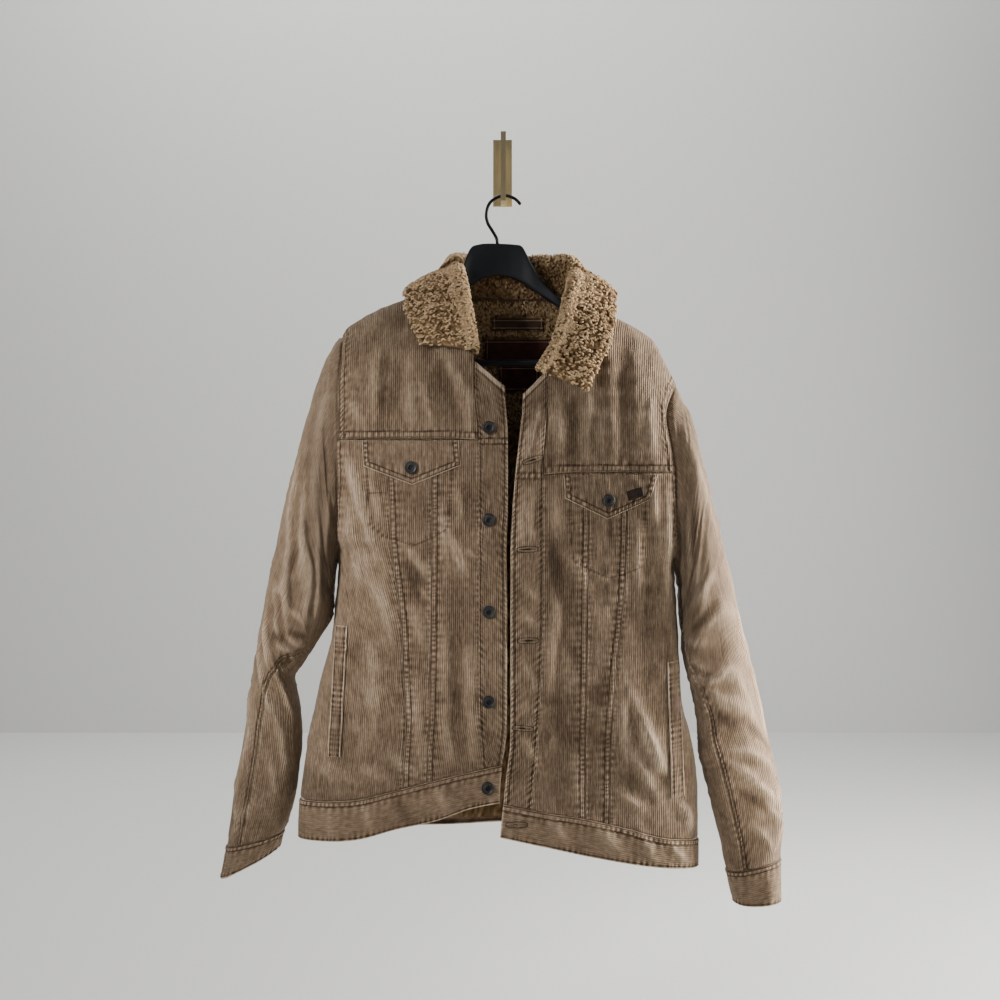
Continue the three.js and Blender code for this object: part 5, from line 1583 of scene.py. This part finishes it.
def tube(name, path, radius, sides, count, material, node, slot):
    """A bent rod with rounded ends."""
    path = smooth_path(path, count)
    ahead = unit(np.gradient(path, axis=0))
    ends = np.full(count, radius)
    ends[[0, -1]] = 0.02
    ends[[1, -2]] = radius * 0.75
    path[0], path[-1] = path[0] - ahead[0] * 0.01, path[-1] + ahead[-1] * 0.01
    rings = path[:, None] + around(ahead, [0.0, 1.0, 0.0], sides) * ends[:, None, None]
    return moulded(name, rings, material, node, slot)


def smooth_path(path, count):
    """A line through the points of a path, in equal steps but for short ones at its ends."""
    points = np.repeat(np.array(path, float)[:, None], count, axis=1)
    line = centripetal(points, np.linspace(0, 1, count))
    along = lengths_along(line, 0)
    at = np.linspace(0, along[-1], count)
    at[1], at[-2] = min(0.6, at[1]), max(along[-1] - 0.6, at[-2])
    return read_line(at, along, line)


HANGER = rows("x top foot y depth", [
    [-206, -232, -241, -62, 5], [-200, -227, -241, -62, 8], [-165, -210, -226, -62, 10],
    [-132, -197, -211, -61, 10], [-100, -188, -202, -60, 9], [-78, -181, -195, -58, 8],
    [-66, -174, -189, -58, 6], [-58, -160, -181, -55, 6], [-52, -130, -172, -50, 6],
    [-43, -108, -161, -45, 6], [-26, -104, -151, -43, 6], [-7, -104, -147, -42, 6],
    [10, -105, -150, -43, 6], [27, -107, -158, -46, 6], [39, -134, -168, -49, 7],
    [54, -158, -178, -52, 7], [70, -174, -189, -56, 8], [88, -189, -202, -58, 9],
    [118, -203, -217, -61, 10], [152, -222, -237, -62, 10], [184, -243, -259, -62, 8],
    [190, -249, -258, -62, 5],
])


def hanger():
    xs = np.concatenate([[-206, -205.4, -204], np.linspace(-202, 187, 150), [188.6, 189.6, 190]])
    soft = lambda values: np.convolve(np.pad(values, 2, mode="edge"), [0.1, 0.2, 0.4, 0.2, 0.1], mode="valid")
    top, foot, y, depth = (
        soft(np.interp(xs, HANGER["x"], HANGER[key])) for key in ("top", "foot", "y", "depth"))
    close = np.ones(len(xs))
    close[[0, -1]], close[[1, -2]], close[[2, -3]] = 0.05, 0.55, 0.85
    sides = 36
    angle = np.arange(sides) * 2 * np.pi / sides
    power = lambda value: np.sign(value) * np.abs(value) ** 0.42
    side, rise = power(np.cos(angle)), power(np.sin(angle))
    px = np.repeat(xs[:, None], sides, 1)
    py = y[:, None] + (depth * close)[:, None] * side * 0.96
    pz = ((top + foot) / 2)[:, None] + ((top - foot) / 2 * close)[:, None] * rise
    moulded("hanger_moulding", np.stack([px, py, pz], -1), plastic, "hanger_body", "black_plastic")
    tube("hanger_bar_tube", [[-186, -62, -237.4], [-186, -62, -248], [-172, -62, -265], [-150, -62, -267],
                             [130, -62, -267], [152, -62, -268], [165, -62, -262], [168, -62, -252.5]],
         4.5, 20, 140, plastic, "hanger_bar", "black_plastic")
    tube("hanger_hook_wire", [[-7, -40, -104.6], [-8, -40, -97], [-14, -40, -86], [-20, -40, -76],
                              [-22, -40, -63.5], [-17, -40, -48], [-4, -40, -39.5], [7, -40, -39],
                              [17, -40, -43], [25, -40, -51]],
         2.25, 20, 120, wire, "hanger_hook", "black_wire")


def bevelled(node, name, width, segments, material, slot):
    """A hard CAD form again with rounded edges, in the same place."""
    piece = placed(name, frame["nodes"][node].data.copy())
    piece.data.materials.clear()
    bevel = piece.modifiers.new("edges", "BEVEL")
    bevel.width, bevel.segments, bevel.limit_method, bevel.angle_limit = width, segments, "ANGLE", 0.5
    bevel.harden_normals = True
    return finished(piece, material, slot, [node])


# Stitches placed from the front on whatever lies there

def shown_surface():
    """All the cloth pieces, for rays."""
    points, faces, start = [], [], 0
    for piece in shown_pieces():
        if piece.type == "MESH" and piece.name.endswith("_cloth"):
            mesh = piece.data
            points += [tuple(v.co) for v in mesh.vertices]
            faces += [tuple(start + i for i in p.vertices) for p in mesh.polygons]
            start += len(mesh.vertices)
    return BVHTree.FromPolygons(points, faces)


def on_front(tree, xs, zs):
    """Where rays from the front meet the cloth, and its normals there."""
    points, normals = [], []
    for x, z in zip(xs, zs):
        place, normal, _, _ = tree.ray_cast(Vector((x * MM, -0.3, z * MM)), Vector((0, 1, 0)))
        if place is not None:
            points.append(np.array(place) / MM)
            normals.append(np.array(normal))
    return np.array(points), unit(np.array(normals))


def front_line(tree, corners, step=1.5):
    """A bent line laid on the front."""
    corners = np.array(corners, float)
    along = lengths_along(corners, 0)
    at = np.linspace(0, along[-1], max(3, int(along[-1] / step)))
    return on_front(tree, *read_line(at, along, corners).T)


BUTTONHOLES = [(39, -399, 18), (32, -515, 2), (33, -633, 1), (26, -746, -4), (18, -870, 0)]   # x, z, tilt
HOLE_LENGTH = 25.0
BAR_LIFT, SHADOW_LINE_LIFT = 0.2, 0.1               # above the cloth


def buttonhole(tree, x, z, tilt):
    """Two close rows of stitches laid across the cut of a buttonhole, a dark line along the cut as painted shade,
    and a dark ring round them as painted shadow.
    """
    turn = np.radians(tilt)
    along, over = np.array([np.cos(turn), np.sin(turn)]), np.array([-np.sin(turn), np.cos(turn)])
    centre = np.array([x, z])

    def stitch(kind, reach, place, lift, length, width):
        points, normals = on_front(tree, *np.array([place - reach, place + reach]).T)
        if len(points) == 2:
            kind.add((points[:1] + points[1:]) / 2 + normals[:1] * lift, unit(points[1:] - points[:1]),
                     normals[:1], length, width)

    for k in np.linspace(-1, 1, 21):
        for side in (-1, 1):
            round_end = np.sqrt(max(0.0, 1 - abs(k) ** 6)) * 1.9
            place = centre + along * k * HOLE_LENGTH / 2 + over * side * round_end
            stitch(bars, over, place, BAR_LIFT, 2.6, 1.5)
    # A ring of painted shadow round the buttonhole's stitches.
    turns = np.linspace(0, 2 * np.pi, 45)[:, None]
    ring = (centre + along * np.cos(turns) * (HOLE_LENGTH / 2 + 1.6)
            + over * np.sign(np.sin(turns)) * np.abs(np.sin(turns)) ** 0.55 * 3.9)
    points, normals = on_front(tree, *ring.T)
    if len(points) == len(turns):
        steps = points[1:] - points[:-1]
        shadow_lines.add((points[1:] + points[:-1]) / 2 + normals[1:] * SHADOW_LINE_LIFT, unit(steps), normals[1:],
                 np.linalg.norm(steps, axis=1, keepdims=True) + 0.8, 1.7)
    # A dark line along the cut, painted as the shade inside it.
    stitch(shadow_lines, along * HOLE_LENGTH * 0.42, centre, SHADOW_LINE_LIFT, HOLE_LENGTH * 0.86, 1.9)


# The jacket

for half in HALVES:
    for part in (front_panels, placket, front_yoke, sleeve, flap, welt):
        part(half)
back()
lining()

upper = Cloth("upper_collar_pile", collar_surface, spaced(0.01, 12.99, 300), spaced(0.002, 0.985, 84), low=SEAM,
              high=SHERPA - 0.5, relief=pile_relief(1.5, 3.4, 7, edges=("foot", "near", "far")), material=pile,
              slot="sherpa_pile", nodes=["upper_collar"],
              rests_on=["left_front_yoke_cloth", "right_front_yoke_cloth"])
# The curls on the back of the collar's stand are painted darker as painted shade.
tufts("collar_tufts", upper, tuft_pile, 4, 2.76, 4.8, 2.2, 1.32,
      shade=lambda root: 0.8 * np.clip((root[:, 1] + 78) / 30, 0, 1) * (root[:, 2] < -134))
Cloth("under_collar_cloth", collar_surface, spaced(0.01, 12.99, 200), np.linspace(0.68, 0.985, 24), turn=-1,
      low=SEAM, high=SEAM + THIN, material=under_cloth, nodes=["under_collar"], rests_on=["left_front_yoke_cloth"])

for given in INSIDE_PATCHES:
    inside_patch(*given)
patch("flap_tab_leather", RIGHT, between([160, -440, 180, -434, 0], [163, -452, 183, -446, 0]),
      spaced(0, 1, 24), spaced(0, 1, 14), SEAT + TRIM + 0.9, leather_relief, thick=1.2, material=tab_leather,
      slot="leather_trim", nodes=["flap_tab"], sheet=False)

for number, (x, z) in enumerate([(-18, -357), (-18, -477), (-18, -596), (-18, -712), (-19, -823)], 1):
    button(f"front_button_{number}", x, z, PLACKET_RISE + 0.7)
button("left_flap_button", -119, -409, 3.0)
button("right_flap_button", 137, -452, 3.0)

hanger()
bevelled("wall_plate", "wall_plate_brass", 0.0009, 3, brass, "satin_brass")
bevelled("wall_hook_bar", "wall_hook_brass", 0.0007, 3, brass, "satin_brass")

on_cloth = shown_surface()
cross_rows = [[(half.x[side](CROSS_SEAMS[half.name] + up), CROSS_SEAMS[half.name] + up)
               for side in ("edge", "placket")] for half in HALVES for up in (0.0, CROSS_WIDTH)]
for line in POCKETS["left"] + POCKETS["right"] + cross_rows:
    thread.row(*front_line(on_cloth, line))
for x, z, tilt in BUTTONHOLES:
    buttonhole(on_cloth, x, z, tilt)
thread.build("topstitching", thread_painted_shade_brown)
light_thread.build("patch_stitching", thread_tan)
shadow_lines.build("buttonhole_shadow_lines", shadow_line_brown)
bars.build("buttonhole_bars", bar_thread)


# Floor, backdrop, light and camera

def plane(name, corners, material):
    mesh = bpy.data.meshes.new(name)
    mesh.from_pydata(corners, [], [(0, 1, 2, 3)])
    piece = placed(name, mesh)
    piece.data.materials.append(material)


pale = Shader("pale_stage", 0.9)
pale.set("Base Color", (0.56, 0.56, 0.545, 1))
plane("floor", [(-8, -8, -1.32), (8, -8, -1.32), (8, 3.4, -1.32), (-8, 3.4, -1.32)], pale.material)
plane("backdrop", [(-8, 3.4, -1.32), (8, 3.4, -1.32), (8, 3.4, 6), (-8, 3.4, 6)], pale.material)


def area_light(name, place, target, size, energy, color=(1, 1, 1), spread=180):
    """A lamp with its size in metres, its power in watts and its spread in degrees."""
    light = bpy.data.lights.new(name, "AREA")
    light.shape, light.size, light.size_y = "RECTANGLE", size[0], size[1]
    light.energy, light.color, light.spread = energy, color, np.radians(spread)
    lamp = placed(name, light)
    lamp.location = place
    lamp.rotation_euler = (Vector(target) - Vector(place)).to_track_quat("-Z", "Y").to_euler()


middle = (0, -0.06, -0.55)
area_light("window_right", (2.5, 0.08, 0.0), (0.2, -0.1, -0.6), (0.7, 1.8), 250, (1.0, 0.985, 0.96))
area_light("daylight_patch", (-1.6, -1.5, 0.3), (-0.34, -0.1, -0.47), (0.45, 0.45), 2.0, (0.99, 0.99, 1.0), 26)
area_light("daylight_on_sleeve", (2.1, -1.5, -0.45), (0.43, -0.06, -0.6), (0.08, 0.5), 1.7,
           (1.0, 0.99, 0.97), 9)
area_light("fill_left", (-2.0, -1.9, 0.2), middle, (1.2, 1.4), 4.0, (0.97, 0.985, 1.0))
area_light("fill_top", (0.1, -1.6, 1.9), middle, (2.0, 1.5), 2.5)
area_light("backdrop_wash", (0.0, 1.9, 2.9), (0.0, 3.4, 0.2), (5.0, 0.8), 115)
area_light("back_light", (-1.0, 2.6, 2.8), middle, (2.0, 1.0), 75)

world = bpy.data.worlds.new("soft_daylight")
world.use_nodes = True
background = world.node_tree.nodes["Background"].inputs
background["Color"].default_value = (0.93, 0.96, 1.0, 1)
background["Strength"].default_value = 0.11
bpy.context.scene.world = world

lens = bpy.data.cameras.new("camera")
lens.sensor_width, lens.lens = 36, 52.06
camera = placed("camera", lens)
camera.location = (-0.0035, -2.0, -0.451)
camera.rotation_euler = (np.pi / 2, 0, 0)
bpy.context.scene.camera = camera
